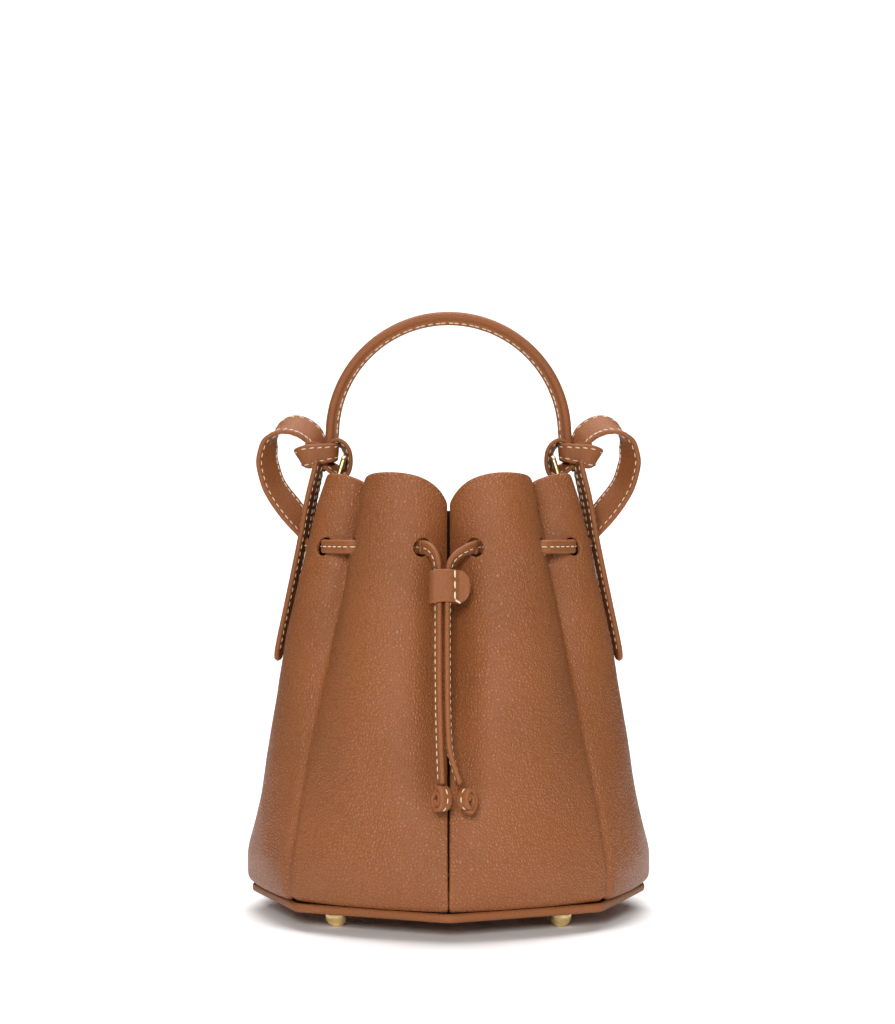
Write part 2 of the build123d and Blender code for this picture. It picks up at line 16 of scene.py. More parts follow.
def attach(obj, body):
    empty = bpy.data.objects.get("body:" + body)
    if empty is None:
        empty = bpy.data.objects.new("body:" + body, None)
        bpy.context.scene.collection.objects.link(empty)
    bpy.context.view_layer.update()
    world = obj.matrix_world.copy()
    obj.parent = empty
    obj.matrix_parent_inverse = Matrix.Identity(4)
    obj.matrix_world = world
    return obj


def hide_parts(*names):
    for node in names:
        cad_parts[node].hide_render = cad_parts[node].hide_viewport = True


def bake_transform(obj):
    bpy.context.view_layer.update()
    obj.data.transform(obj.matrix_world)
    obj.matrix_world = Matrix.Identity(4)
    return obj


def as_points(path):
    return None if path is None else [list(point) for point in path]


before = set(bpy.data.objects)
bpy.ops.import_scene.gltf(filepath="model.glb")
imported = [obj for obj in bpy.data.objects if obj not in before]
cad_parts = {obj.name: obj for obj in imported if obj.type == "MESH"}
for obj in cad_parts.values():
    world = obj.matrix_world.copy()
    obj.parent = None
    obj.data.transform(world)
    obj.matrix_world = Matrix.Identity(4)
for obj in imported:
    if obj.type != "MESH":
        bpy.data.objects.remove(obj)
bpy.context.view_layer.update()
MM = 0.001


# ---- camera and light ----
CAMERA_PLACE = (-0.0005, -1.2, 0.196)
CAMERA_LENS = 85.2


def linked(name, data):
    """A new object with that data, in the scene."""
    made = bpy.data.objects.new(name, data)
    bpy.context.scene.collection.objects.link(made)
    return made


def make_camera():
    """A level camera in front of the bag, with the photographed angle and distance."""
    data = bpy.data.cameras.new("camera")
    data.lens = CAMERA_LENS
    data.sensor_width = 36.0
    data.clip_start = 0.01
    camera = linked("camera", data)
    camera.location = CAMERA_PLACE
    camera.rotation_euler = (pi / 2, 0, 0)
    bpy.context.scene.camera = camera


BAG_MIDDLE = (0, 0, 0.14)
WHITE = (1.0, 1.0, 1.0)
WORLD_STRENGTH = 0.05
# name, place, aim, size, power in watts and colour
LIGHTS = [
    ("key", (-0.16, -1.6, 0.62), BAG_MIDDLE, (0.4, 0.4), 21.0, (1.0, 0.985, 0.96)),
    ("fill", (0.8, -1.3, 0.3), BAG_MIDDLE, (0.6, 0.6), 1.5, WHITE),
    ("top", (0, 0.1, 2.2), (0, 0.1, 0), (1.2, 1.2), 34.0, WHITE),
    ("backdrop", (0, 0.9, 2.6), (0, 1.9, 0.4), (3.0, 1.2), 80.0, WHITE),
]


def area_light(name, place, aim, size, power, colour):
    """A rectangular soft light at a place, pointing at another."""
    data = bpy.data.lights.new(name, "AREA")
    data.shape = "RECTANGLE"
    data.size, data.size_y = size
    data.energy = power
    data.color = colour
    light = linked(name, data)
    light.location = place
    light.rotation_euler = (Vector(aim) - Vector(place)).to_track_quat("-Z", "Y").to_euler()


def make_light():
    """A small key from the upper left front, a faint fill, two lights overhead and a dim world."""
    for light in LIGHTS:
        area_light(*light)
    world = bpy.data.worlds.new("studio")
    world.use_nodes = True
    background = world.node_tree.nodes["Background"]
    background.inputs["Color"].default_value = (*WHITE, 1.0)
    background.inputs["Strength"].default_value = WORLD_STRENGTH
    bpy.context.scene.world = world
    bpy.context.scene.view_settings.view_transform = "Standard"


# ---- materials ----
LEATHER_COLOUR = (0.266, 0.088, 0.0265)
THREAD_COLOUR = (0.74, 0.62, 0.44)


class Nodes:
    """A material's node tree, with short calls to add and join nodes."""

    def __init__(self, name):
        self.material = bpy.data.materials.new(name)
        self.material.use_nodes = True
        self.tree = self.material.node_tree
        self.shader = self.tree.nodes["Principled BSDF"]
        self.place = self.add("TexCoord").outputs["Object"]

    def feed(self, node, inputs):
        """Sets a node's inputs to values, or joins other nodes' outputs to them."""
        for key, value in inputs.items():
            if isinstance(value, bpy.types.NodeSocket):
                self.tree.links.new(value, node.inputs[key])
            else:
                node.inputs[key].default_value = value

    def add(self, kind, inputs=None, **settings):
        node = self.tree.nodes.new(f"ShaderNode{kind}")
        for key, value in settings.items():
            setattr(node, key, value)
        self.feed(node, inputs or {})
        return node

    def noise(self, scale, detail=3.0, roughness=0.5):
        inputs = {"Scale": scale, "Detail": detail, "Roughness": roughness, "Vector": self.place}
        return self.add("TexNoise", inputs).outputs["Fac"]

    def pebbles(self, scale, place):
        """Distance from the nearest crease between pebbles of that scale."""
        inputs = {"Scale": scale, "Vector": place}
        return self.add("TexVoronoi", inputs, feature="DISTANCE_TO_EDGE").outputs["Distance"]

    def ramp(self, source, low, high, to_low=0.0, to_high=1.0):
        inputs = {"Value": source, "From Min": low, "From Max": high,
                  "To Min": to_low, "To Max": to_high}
        return self.add("MapRange", inputs, interpolation_type="SMOOTHSTEP").outputs["Result"]

    def maths(self, operation, first, second):
        return self.add("Math", {0: first, 1: second}, operation=operation).outputs["Value"]

    def mix(self, factor, first, second):
        one, two = [(*c, 1.0) if isinstance(c, tuple) else c for c in (first, second)]
        return self.add("Mix", {"Factor": factor, 6: one, 7: two}, data_type="RGBA").outputs[2]

    def moved(self, operation, inputs):
        return self.add("VectorMath", inputs, operation=operation).outputs["Vector"]

    def wobble(self, scale, amount):
        """The object's coordinates, pushed about by a noise, so that patterns aren't regular."""
        texture = self.add("TexNoise", {"Scale": scale, "Vector": self.place})
        push = self.moved("SUBTRACT", {0: texture.outputs["Color"], 1: (0.5, 0.5, 0.5)})
        push = self.moved("SCALE", {0: push, "Scale": amount})
        return self.moved("ADD", {0: self.place, 1: push})

    def bump(self, height, distance, below=None):
        inputs = {"Distance": distance, "Strength": 1.0, "Height": height}
        if below:
            inputs["Normal"] = below
        return self.add("Bump", inputs).outputs["Normal"]

    def surface(self, inputs):
        """Sets the surface's inputs and gives its material."""
        self.feed(self.shader, inputs)
        return self.material


def scaled(colour, factor):
    """A colour made lighter or darker."""
    return tuple(min(1.0, c * factor) for c in colour)


DOME_REACH = 0.4
FINE_SCALE = 2.3
FINE_SHARE = 0.1
PORE_SCALE = 9.0
PORE_SHARE = 0.05
# the reach, strength and darkness of the painted shade in the grain's creases
CREASE_REACH = 0.18
CREASE_SHADE_STRENGTH = 0.55
CREASE_PAINTED_SHADE = 0.55
CREASE_ROUGHNESS = 0.2


def leather(name, colour, grain, depth, roughness):
    """Grained leather: domed pebbles with fine creases between them, painted shade in the creases, and
    pores.
    """
    nodes = Nodes(name)
    place = nodes.wobble(grain * 0.5, 0.3 / grain)
    edges = nodes.pebbles(grain, place)
    dome = nodes.ramp(edges, 0.0, DOME_REACH)
    fine = nodes.ramp(nodes.pebbles(grain * FINE_SCALE, place), 0.0, 0.3)
    height = nodes.maths("ADD", dome, nodes.maths("MULTIPLY", fine, FINE_SHARE))
    uneven = nodes.ramp(nodes.noise(38.0, 2.0), 0.25, 0.75, 0.6, 1.0)
    height = nodes.maths("MULTIPLY", height, uneven)
    pores = nodes.bump(nodes.noise(grain * PORE_SCALE, 4.0, 0.65), depth * PORE_SHARE)
    cloud = nodes.ramp(nodes.noise(16.0, 3.0), 0.3, 0.7)
    base = nodes.mix(cloud, scaled(colour, 0.93), scaled(colour, 1.06))
    # painted shade: the colour darkens in the creases between pebbles, where shadow falls
    crease = nodes.ramp(edges, 0.0, CREASE_REACH, CREASE_SHADE_STRENGTH, 0.0)
    return nodes.surface({
        "Base Color": nodes.mix(crease, base, scaled(colour, CREASE_PAINTED_SHADE)),
        "Normal": nodes.bump(height, depth, pores),
        "Roughness": nodes.ramp(edges, 0.0, 0.3, roughness + CREASE_ROUGHNESS, roughness),
        "Specular IOR Level": 0.32,
    })


def suede(name, colour, nap):
    """Short napped cloth or lining."""
    nodes = Nodes(name)
    cloud = nodes.ramp(nodes.noise(60.0, 4.0, 0.6), 0.3, 0.7)
    return nodes.surface({
        "Base Color": nodes.mix(cloud, scaled(colour, 0.88), scaled(colour, 1.1)),
        "Normal": nodes.bump(nodes.noise(3500.0, 2.0), 0.0002),
        "Roughness": 0.92,
        "Specular IOR Level": 0.05,
        "Sheen Weight": nap,
    })


def thread(name, colour):
    """Waxed twisted thread."""
    nodes = Nodes(name)
    twist = nodes.noise(2600.0, 2.0)
    tones = nodes.ramp(twist, 0.3, 0.7)
    return nodes.surface({
        "Base Color": nodes.mix(tones, scaled(colour, 0.8), scaled(colour, 1.08)),
        "Normal": nodes.bump(twist, 0.00012),
        "Roughness": 0.55,
        "Sheen Weight": 0.25,
    })


def gold(name):
    """Polished gold plating with faint brushing."""
    nodes = Nodes(name)
    streak = nodes.noise(900.0, 3.0, 0.6)
    tones = nodes.ramp(streak, 0.3, 0.7)
    return nodes.surface({
        "Base Color": nodes.mix(tones, (0.92, 0.68, 0.28), (1.0, 0.80, 0.42)),
        "Metallic": 1.0,
        "Roughness": nodes.ramp(streak, 0.2, 0.8, 0.30, 0.38),
        "Normal": nodes.bump(streak, 0.00001),
    })


def speckled(name, speck, dark, light, roughness):
    """A matt surface of two tones: the base's fibre board, or studio paper."""
    nodes = Nodes(name)
    tones = nodes.mix(nodes.noise(*speck), dark, light)
    return nodes.surface({"Base Color": tones, "Roughness": roughness})


make_camera()
make_light()
BODY = leather("body_leather", LEATHER_COLOUR, 620.0, 0.00032, 0.36)
FACING = leather("facing_leather", scaled(LEATHER_COLOUR, 0.3), 900.0, 0.0001, 0.6)
STRAP = leather("strap_leather", scaled(LEATHER_COLOUR, 1.02), 1150.0, 0.00012, 0.45)
SUEDE = suede("lining_suede", (0.11, 0.05, 0.025), 0.08)
THREAD = thread("thread", THREAD_COLOUR)
GOLD = gold("gold")
BOARD = speckled("base_board_fibre", (1400.0, 3.0, 0.7), (0.05, 0.045, 0.04), (0.12, 0.11, 0.10),
                 0.85)
# near-black colour: dark edge paint, and painted shade of the gaps in the seams and above the base's
# rim
DARK_EDGE_AND_SHADE = suede("seam_binding_cloth", (0.012, 0.006, 0.004), 0.0)


# ---- mesh helpers ----
def piece(name, points, faces, materials, slot, body):
    """A new object from points in millimetres, riding on a body, or on none yet."""
    mesh = bpy.data.meshes.new(name)
    mesh.from_pydata([tuple(c * MM for c in p) for p in points], [], [f for f, _ in faces])
    for material in materials:
        mesh.materials.append(material)
    for polygon, (_, index) in zip(mesh.polygons, faces):
        polygon.material_index = index
        polygon.use_smooth = True
    work = bmesh.new()
    work.from_mesh(mesh)
    bmesh.ops.remove_doubles(work, verts=work.verts, dist=1e-6)
    bmesh.ops.recalc_face_normals(work, faces=work.faces)
    work.to_mesh(mesh)
    work.free()
    made = linked(name, mesh)
    if body:
        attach(made, body)
    return made


def subdivide(target):
    """Rounds a piece with one level of subdivision surface."""
    modifier = target.modifiers.new("rounding", "SUBSURF")
    modifier.levels = 1
    modifier.render_levels = 1


CURVE_STEPS = 24


def blended(keys, count):
    """Catmull-Rom curve through rows of numbers, evenly spaced along its first three numbers."""
    rows = [keys[0]] + list(keys) + [keys[-1]]
    fine = []
    for a, b, c, d in zip(rows, rows[1:], rows[2:], rows[3:]):
        for step in range(CURVE_STEPS):
            t = step / CURVE_STEPS
            fine.append([
                0.5 * (2 * q + (r - p) * t + (2 * p - 5 * q + 4 * r - s) * t * t
                       + (3 * q - p - 3 * r + s) * t**3)
                for p, q, r, s in zip(a, b, c, d)
            ])
    fine.append(list(keys[-1]))
    return spaced(fine, count)


def marks_along(rows):
    """Each row's distance from the first, along the rows' first three numbers."""
    marks = [0.0]
    for one, two in zip(rows, rows[1:]):
        marks.append(marks[-1] + dist(one[:3], two[:3]))
    return marks


def spaced(rows, count):
    """The rows resampled to count + 1 rows, evenly spaced along their first three numbers."""
    marks = marks_along(rows)
    even, index = [], 0
    for step in range(count + 1):
        wanted = marks[-1] * step / count
        while index < len(marks) - 2 and marks[index + 1] < wanted:
            index += 1
        share = (wanted - marks[index]) / max(marks[index + 1] - marks[index], 1e-9)
        even.append([p + share * (q - p) for p, q in zip(rows[index], rows[index + 1])])
    return even


class Frame:
    """A place on a strap: its middle, its direction, its half width vector and its face's normal."""

    def __init__(self, middle, along, across):
        self.middle = middle
        self.along = along.normalized()
        square = across - self.along * across.dot(self.along)
        self.side = square.normalized()
        self.half = across.length
        self.normal = self.side.cross(self.along)


def frames(rows, closed=False):
    """Frames from rows of x, y, z and the three parts of the half width vector."""
    made = []
    for index, row in enumerate(rows):
        before = rows[index - 1] if index or closed else row
        after = rows[(index + 1) % len(rows)] if index < len(rows) - 1 or closed else row
        along = Vector(after[:3]) - Vector(before[:3])
        made.append(Frame(Vector(row[:3]), along, Vector(row[3:6])))
    return made


STRAP_THICK = 2.6
STITCH_PITCH = 3.5
STITCH_LENGTH = 2.5
STITCH_RADIUS = 0.28
STITCH_INSET = 1.9
STITCH_DENT = 0.16
STITCH_DENT_WIDTH = 0.55
STITCH_RISE = 0.1
TIP_THINNING = 1.6


def strap_section(half, thick, rows):
    """Closed outline of a strap: turned round edges, and a slight dent along each stitch row."""
    radius = thick / 2
    inner = half - radius
    marks = sorted({-inner, inner, *[r + d for r in rows for d in (-0.9, -0.45, 0.0, 0.45, 0.9)],
                    -inner / 2, 0.0, inner / 2})
    marks = [m for m in marks if abs(m) <= inner + 1e-6]

    def height(x):
        dent = sum(exp(-(((x - r) / STITCH_DENT_WIDTH) ** 2)) for r in rows)
        return radius - STITCH_DENT * dent

    top = [(x, height(x)) for x in marks]
    bottom = [(x, -y) for x, y in reversed(top)]
    turns = [radians(a) for a in (67, 40, 13, -13, -40, -67)]
    right = [(inner + radius * cos(a), radius * sin(a)) for a in turns]
    left = [(-x, -y) for x, y in right]
    return top + right + bottom + left


def tip_share(distance, radius):
    """How much of its width a strap keeps that near its round tip."""
    if distance >= radius:
        return 1.0
    return sqrt(max(1 - (1 - distance / radius) ** 2, 0.0004))


def ring_faces(low, high, size):
    """Faces between two rings of points, from the number of each ring's first point."""
    return [((low + k, low + m, high + m, high + k), 0)
            for k, m in zip(range(size), [*range(1, size), 0])]


def sweep(path, section_at, closed=False):
    """Points and faces of a section moved along frames; section_at gives it for each frame."""
    points, faces = [], []
    for index, place in enumerate(path):
        section = section_at(index)
        points += [place.middle + place.side * x + place.normal * y for x, y in section]
    size = len(section)
    for index in range(len(path) - 1):
        faces += ring_faces(index * size, (index + 1) * size, size)
    last = (len(path) - 1) * size
    if closed:
        return points, faces + ring_faces(last, 0, size)
    faces.append((tuple(range(size)), 0))
    faces.append((tuple(last + k for k in reversed(range(size))), 0))
    return points, faces


def stitch_places(path, run, sign, ends, thick):
    """Both faces' stitches in one row of a strap, between two distances along it."""
    start, stop = ends
    count = max(1, int((stop - start) / STITCH_PITCH))
    rise = thick / 2 - STITCH_DENT + STITCH_RISE
    places = []
    for number in range(count):
        mark = start + (number + 0.5) * (stop - start) / count
        near = min(bisect.bisect_right(run, mark), len(run) - 1) - 1
        share = (mark - run[near]) / (run[near + 1] - run[near])
        one, two = path[near], path[near + 1]
        offset = sign * (one.half + share * (two.half - one.half) - STITCH_INSET)
        middle = one.middle.lerp(two.middle, share) + one.side.lerp(two.side, share) * offset
        normal = one.normal.lerp(two.normal, share).normalized()
        along = one.along.lerp(two.along, share).normalized()
        places += [(middle + normal * (face * rise), along, normal * face) for face in (1, -1)]
    return places


def ribbon(name, rows, body, stitch_rows=(-1, 1), thick=STRAP_THICK, round_ends=(False, False),
           closed=False, slot="strap_leather", material=STRAP, tip=None):
    """A stitched leather strap along rows of middle and half width vector, with its stitches.

    stitch_rows has -1, 0 or 1 for a row at the near edge, in the middle or at the far edge.
    """
    path = frames(rows, closed)
    run = marks_along(rows)
    length = run[-1]
    tip_radius = tip or path[0].half

    def section_at(index):
        half = path[index].half
        share = 1.0
        for is_round, distance in zip(round_ends, (run[index], length - run[index])):
            if is_round:
                share = min(share, tip_share(distance, tip_radius))
        full = strap_section(half, thick, [sign * (half - STITCH_INSET) for sign in stitch_rows])
        return [(x * share, y * min(1.0, share * TIP_THINNING)) for x, y in full]

    points, faces = sweep(path, section_at, closed)
    made = piece(name, points, faces, [material], slot, body)
    bare = [tip_radius * 0.9 if is_round else STITCH_PITCH / 2 for is_round in round_ends]
    places = []
    for sign in stitch_rows:
        places += stitch_places(path, run, sign, (bare[0], length - bare[1]), thick)
    if places:
        stitches(f"{name}_stitches", places, body)
    return made


# share of the stitch's length, share of its radius, and rise as a share of its radius
STITCH_PROFILE = [(-0.5, 0.35, -1.0), (-0.42, 0.8, -0.35), (-0.2, 1.0, 0.15), (0.2, 1.0, 0.15),
                  (0.42, 0.8, -0.35), (0.5, 0.35, -1.0)]


def stitches(name, places, body, length=STITCH_LENGTH, radius=STITCH_RADIUS):
    """One piece of thread stitches at places of point, direction and face normal."""
    points, faces = [], []
    around = 6
    for middle, along, normal in places:
        side = along.cross(normal).normalized()
        start = len(points)
        for share, swell, rise in STITCH_PROFILE:
            centre = middle + along * (share * length) + normal * (rise * radius)
            for k in range(around):
                a = 2 * pi * k / around
                offset = side * cos(a) + normal * sin(a) * 0.85
                points.append(centre + offset * (swell * radius))
        end = len(points) - around
        for low in range(start, end, around):
            faces += ring_faces(low, low + around, around)
        faces.append((tuple(start + k for k in reversed(range(around))), 0))
        faces.append((tuple(end + k for k in range(around)), 0))
    return piece(name, points, faces, [THREAD], "cord_leather", body)


def mirrored(rows, side):
    """Rows for the left side, or the same mirrored for the right one."""
    if side == 1:
        return [list(row) for row in rows]
    return [[-x, y, z, -half_x, *rest] for x, y, z, half_x, *rest in rows]


# ---- free ends of the drawcord, made first ----
LACE_WIDTH = 6.6
LACE_THICK = 2.5
# the same route points as the solids', from the hole to the end knot, in metres
LEFT_LACE = [
    (-0.011702, -0.069308, 0.1795),
    (-0.0089, -0.0746, 0.1793),
    (-0.0056, -0.0772, 0.1745),
    (-0.0051, -0.0790, 0.1660),
    (-0.0050, -0.092412, 0.0970),
    (-0.0036, -0.097272, 0.0720),
]
RIGHT_LACE = [
    (0.011702, -0.069308, 0.1795),
    (0.0089, -0.0746, 0.1793),
    (0.0012, -0.0774, 0.1742),
    (-0.0005, -0.0790, 0.1660),
    (-0.0004, -0.093384, 0.0920),
    (0.0018, -0.095522, 0.0810),
    (0.0052, -0.097272, 0.0720),
]


def smooth_line(name, route):
    """Points of the NURBS curve that the route's points control, in millimetres."""
    curve = bpy.data.curves.new(name, "CURVE")
    curve.dimensions = "3D"
    curve.resolution_u = 14
    spline = curve.splines.new("NURBS")
    spline.points.add(len(route) - 1)
    for point, place in zip(spline.points, route):
        point.co = (*place, 1.0)
    spline.order_u = 3
    spline.use_endpoint_u = True
    line = bpy.data.objects.new(name, curve)
    mesh = bpy.data.meshes.new_from_object(line)
    points = [vertex.co / MM for vertex in mesh.vertices]
    bpy.data.objects.remove(line)
    return points


def lace(name, route, near_way):
    """A flat stitched lace, on edge, whose near edge leans towards near_way."""
    line = smooth_line(f"{name}_line", route)
    rows = []
    for index, point in enumerate(line):
        after, before = line[min(index + 1, len(line) - 1)], line[max(index - 1, 0)]
        along = (after - before).normalized()
        lean = Vector(near_way)
        near = (lean - along * lean.dot(along)).normalized()
        rows.append([*point, *(near * LACE_WIDTH / 2)])
    made = ribbon(name, rows, "cord_ends", [0], LACE_THICK, slot="cord_leather")
    return made, [point * MM for point in line]


COIL_AXIS_TURN = radians(42)
COIL_TURNS = 1.75
COIL_STEPS = 52
COIL_THICK = 2.2
# half size at the coil's outside, and how much of it is lost by its middle
COIL_TALL = (5.45, 3.9)
COIL_DEEP = (4.0, 3.0)


def end_knot(name, centre, side):
    """The lace's end rolled up into an oval coil, its axis turned half towards the front."""
    axis = Vector((-side * cos(COIL_AXIS_TURN), -sin(COIL_AXIS_TURN), 0.05)).normalized()
    sideways = axis.cross(Vector((0, 0, 1))).normalized()
    up = sideways.cross(axis)
    rows = []
    for step in range(COIL_STEPS + 1):
        share = step / COIL_STEPS
        angle = side * (pi * 0.5 + share * 2 * pi * COIL_TURNS)
        tall = COIL_TALL[0] - COIL_TALL[1] * share
        deep = COIL_DEEP[0] - COIL_DEEP[1] * share
        place = Vector(centre) + up * (tall * sin(angle)) + sideways * (deep * cos(angle))
        rows.append([*place, *(axis * LACE_WIDTH * 0.52)])
    return ribbon(name, rows, "cord_ends", [0], COIL_THICK, slot="cord_leather")


def make_laces():
    """Both free ends with their stitches and end knots."""
    ends = (
        ("left", LEFT_LACE, (0.35, -0.75, 0.56), (-3.5, -99.8, 65.4), 1, 0.1164),
        ("right", RIGHT_LACE, (-0.1, -0.8, 0.56), (8.2, -99.8, 65.2), -1, 0.1200),
    )
    for name, route, near_way, centre, side, length in ends:
        cord, line = lace(f"lace_{name}_leather", route, near_way)
        knot = end_knot(f"lace_knot_{name}_coil", centre, side)
        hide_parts(f"lace_{name}")
        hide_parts(f"lace_knot_{name}")
        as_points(line)


# ---- the body's fluted shape ----
LEATHER = 2.4
FOLD_ANGLE = 50.7
BASE_SIDE = 100.0
SEAM_GAP = 0.14
TOP_Z = 214.0
# height, valley's distance from the axis, share of length kept,
# and the side strip's distance and half width
STATIONS = [
    (17.5, 98.0, 0.985, 99.4, 0.8),
    (30.0, 98.0, 0.998, 99.4, 1.0),
    (60.0, 90.7, 0.948, 90.9, 2.5),
    (100.0, 80.2, 0.906, 81.2, 5.0),
    (140.0, 69.0, 0.891, 71.5, 7.0),
    (175.0, 58.5, 0.871, 62.5, 8.5),
    (200.0, 52.2, 0.835, 54.8, 8.5),
    (214.0, 46.4, 0.820, 50.5, 8.5),
]
BOTTOM_Z = 12.95
BOTTOM_ROUND = 4.6
SEAM_DIP = 15.0
FOLD_DIP = 8.0
DIP_POWER = 2.3
CORD_Z = 179.5
HOLE_FROM_VALLEY = 16.3
HOLE_FROM_STRIP = 10.0
# half the square patch of wall round each hole
PATCH = 6.3
CORNER_REACH = 5.0
CORNER_EASE = 2.2
CREASE_HALF = 1.5
CREASE_DEPTH = 2.3
CREASE_TOP = 110.0
CREASE_FADE = 60.0
PULL_DEPTH = 9.0
PULL_HALF = 12.0
# heights between which the pull sets in, and between which it dies away
PULL_SETS_IN = (46.0, 78.0)
PULL_DIES = (150.0, 196.0)
# length and height of each wave in the wall, and where the waves fade out
WAVES = [(34.0, 0.9), (11.0, 0.28)]
FADE_BOTTOM = 20.0
FADE_SEAM = 12.0
FADE_STRIP = 8.0


def at_height(z):
    """The stations' values at a height, straight between them, with a round tuck at the bottom."""
    clamped = max(z, STATIONS[0][0])
    index = 0
    while index < len(STATIONS) - 2 and STATIONS[index + 1][0] < clamped:
        index += 1
    low, high = STATIONS[index], STATIONS[index + 1]
    share = (clamped - low[0]) / (high[0] - low[0])
    values = [a + share * (b - a) for a, b in zip(low[1:], high[1:])]
    drop = max(STATIONS[0][0] - z, 0.0)
    inset = BOTTOM_ROUND - sqrt(max(BOTTOM_ROUND**2 - drop**2, 0.0))
    return values[0] - inset, values[1] - inset / BASE_SIDE, values[2] - inset, values[3]


def polar(radius, degrees):
    """Point at an angle from the front, turning to the left."""
    a = radians(degrees)
    return (-radius * sin(a), -radius * cos(a))


def half_span(chord, length):
    """Half the angle of the circular arc with that chord and length."""
    low, high = 0.001, 3.0
    for _ in range(40):
        guess = (low + high) / 2
        if sin(guess) / guess > chord / length:
            low = guess
        else:
            high = guess
    return low


def crest(z, half_angle):
    """A flute's furthest distance from the axis."""
    valley, scale = at_height(z)[:2]
    chord = 2 * valley * sin(half_angle)
    length = 2 * BASE_SIDE * sin(half_angle) * scale
    span = half_span(chord, length)
    return valley * cos(half_angle) + length / 2 / span * (1 - cos(span))


class Arc:
    """The circle arc through three points, measured along its length."""

    def __init__(self, first, middle, last):
        (ax, ay), (bx, by), (cx, cy) = first, middle, last
        d = 2 * (ax * (by - cy) + bx * (cy - ay) + cx * (ay - by))
        a2, b2, c2 = ax * ax + ay * ay, bx * bx + by * by, cx * cx + cy * cy
        self.x = (a2 * (by - cy) + b2 * (cy - ay) + c2 * (ay - by)) / d
        self.y = (a2 * (cx - bx) + b2 * (ax - cx) + c2 * (bx - ax)) / d
        self.radius = dist((self.x, self.y), first)
        self.start = atan2(ay - self.y, ax - self.x)
        sweep_angle = atan2(cy - self.y, cx - self.x) - self.start
        turn = 2 * pi
        if (bx - ax) * (cy - ay) - (by - ay) * (cx - ax) > 0:
            self.sweep = sweep_angle % turn
        else:
            self.sweep = -((-sweep_angle) % turn)
        self.length = abs(self.sweep) * self.radius

    def at(self, share):
        angle = self.start + self.sweep * share
        return (self.x + self.radius * cos(angle), self.y + self.radius * sin(angle))


@functools.lru_cache(maxsize=4096)
def outline(z):
    """The front left quarter's front arc, side arc and side strip at a height."""
    valley, _, strip, strip_half = at_height(z)
    seam = (-SEAM_GAP, -valley)
    fold = polar(valley, FOLD_ANGLE)
    corner = (-strip, -strip_half)
    side_angle = (90 - FOLD_ANGLE) / 2
    front_middle = polar(crest(z, radians(FOLD_ANGLE / 2)), FOLD_ANGLE / 2)
    side_crest = crest(z, radians(side_angle)) + strip_half / STATIONS[-1][4]
    side_middle = polar(side_crest, FOLD_ANGLE + side_angle)
    return Arc(seam, front_middle, fold), Arc(fold, side_middle, corner), (strip, strip_half)


def on_outline(z, run):
    """The point that far round the quarter's outline from the front seam."""
    front, side, (strip, strip_half) = outline(z)
    if run <= front.length:
        return front.at(run / front.length)
    run -= front.length
    if run <= side.length:
        return side.at(run / side.length)
    return (-strip, -strip_half + run - side.length)


def softened(z, run):
    """The outline's point, with its two inner corners eased."""
    front, side, _ = outline(z)
    near = min(abs(run - front.length), abs(run - front.length - side.length))
    if near > CORNER_REACH:
        return on_outline(z, run)
    spread = CORNER_EASE * (1 - near / CORNER_REACH) ** 0.5
    total, x, y = 0.0, 0.0, 0.0
    for step, weight in ((-1, 1), (-0.5, 2), (0, 2), (0.5, 2), (1, 1)):
        px, py = on_outline(z, max(run + step * spread, 0.0))
        total, x, y = total + weight, x + weight * px, y + weight * py
    return (x / total, y / total)


def run_at(z, flute, share):
    """Distance round the outline of a share of one flute, the side strip being flute 2."""
    front, side, (_, strip_half) = outline(z)
    if flute == 0:
        return front.length * share
    if flute == 1:
        return front.length + side.length * share
    return front.length + side.length + (strip_half - SEAM_GAP) * share


def top_edge(flute, share):
    """Height of the top edge, which dips towards the seams and folds."""
    if flute == 2:
        return TOP_Z - FOLD_DIP
    off = 2 * share - 1
    dip = SEAM_DIP if flute == 0 and off < 0 else FOLD_DIP
    return TOP_Z - dip * abs(off) ** DIP_POWER


def eased_step(value, low, high):
    """0 below low, 1 above high, and smooth between them."""
    share = min(1.0, max(0.0, (value - low) / (high - low)))
    return share * share * (3 - 2 * share)


def seam_pull(z, run):
    """How far the drawcord's pull draws the leather in beside a seam."""
    strength = eased_step(z, *PULL_SETS_IN) * (1 - eased_step(z, *PULL_DIES))
    return PULL_DEPTH * strength * exp(-((run / PULL_HALF) ** 2))


def wall_normal(z, run, x, y):
    """Outward normal of the front left quarter's wall at a point of its outline."""
    x1, y1 = softened(z, max(run - 0.4, 0.0))
    x2, y2 = softened(z, run + 0.4)
    tangent = Vector((x2 - x1, y2 - y1, 0)).normalized()
    xu, yu = softened(z + 1.0, run)
    xd, yd = softened(z - 1.0, run)
    upward = Vector((xu - xd, yu - yd, 2.0)).normalized()
    normal = tangent.cross(upward).normalized()
    return -normal if normal.x * x + normal.y * y < 0 else normal


def wall_point(quarter, z, flute, share, depth):
    """A point of a quarter's wall, at a depth under its outer surface, with slight waves."""
    side, end = quarter
    run = run_at(z, flute, share)
    x, y = softened(z, run)
    normal = wall_normal(z, run, x, y)
    place = Vector((side * x, end * y, z))
    wave = sum(noise.noise(place / length) * height for length, height in WAVES)
    front, side_arc, _ = outline(z)
    from_strip = abs(front.length + side_arc.length - run)
    fade = min(1.0, (z - BOTTOM_Z) / FADE_BOTTOM, run / FADE_SEAM, from_strip / FADE_STRIP)
    off = (run - front.length) / CREASE_HALF
    crease_share = min(1.0, max(0.0, (CREASE_TOP - z) / CREASE_FADE))
    crease = CREASE_DEPTH * exp(-off * off) * crease_share
    out = wave * fade - crease - depth
    place.y += end * seam_pull(z, run)
    return place + Vector((side * normal.x, end * normal.y, normal.z)) * out


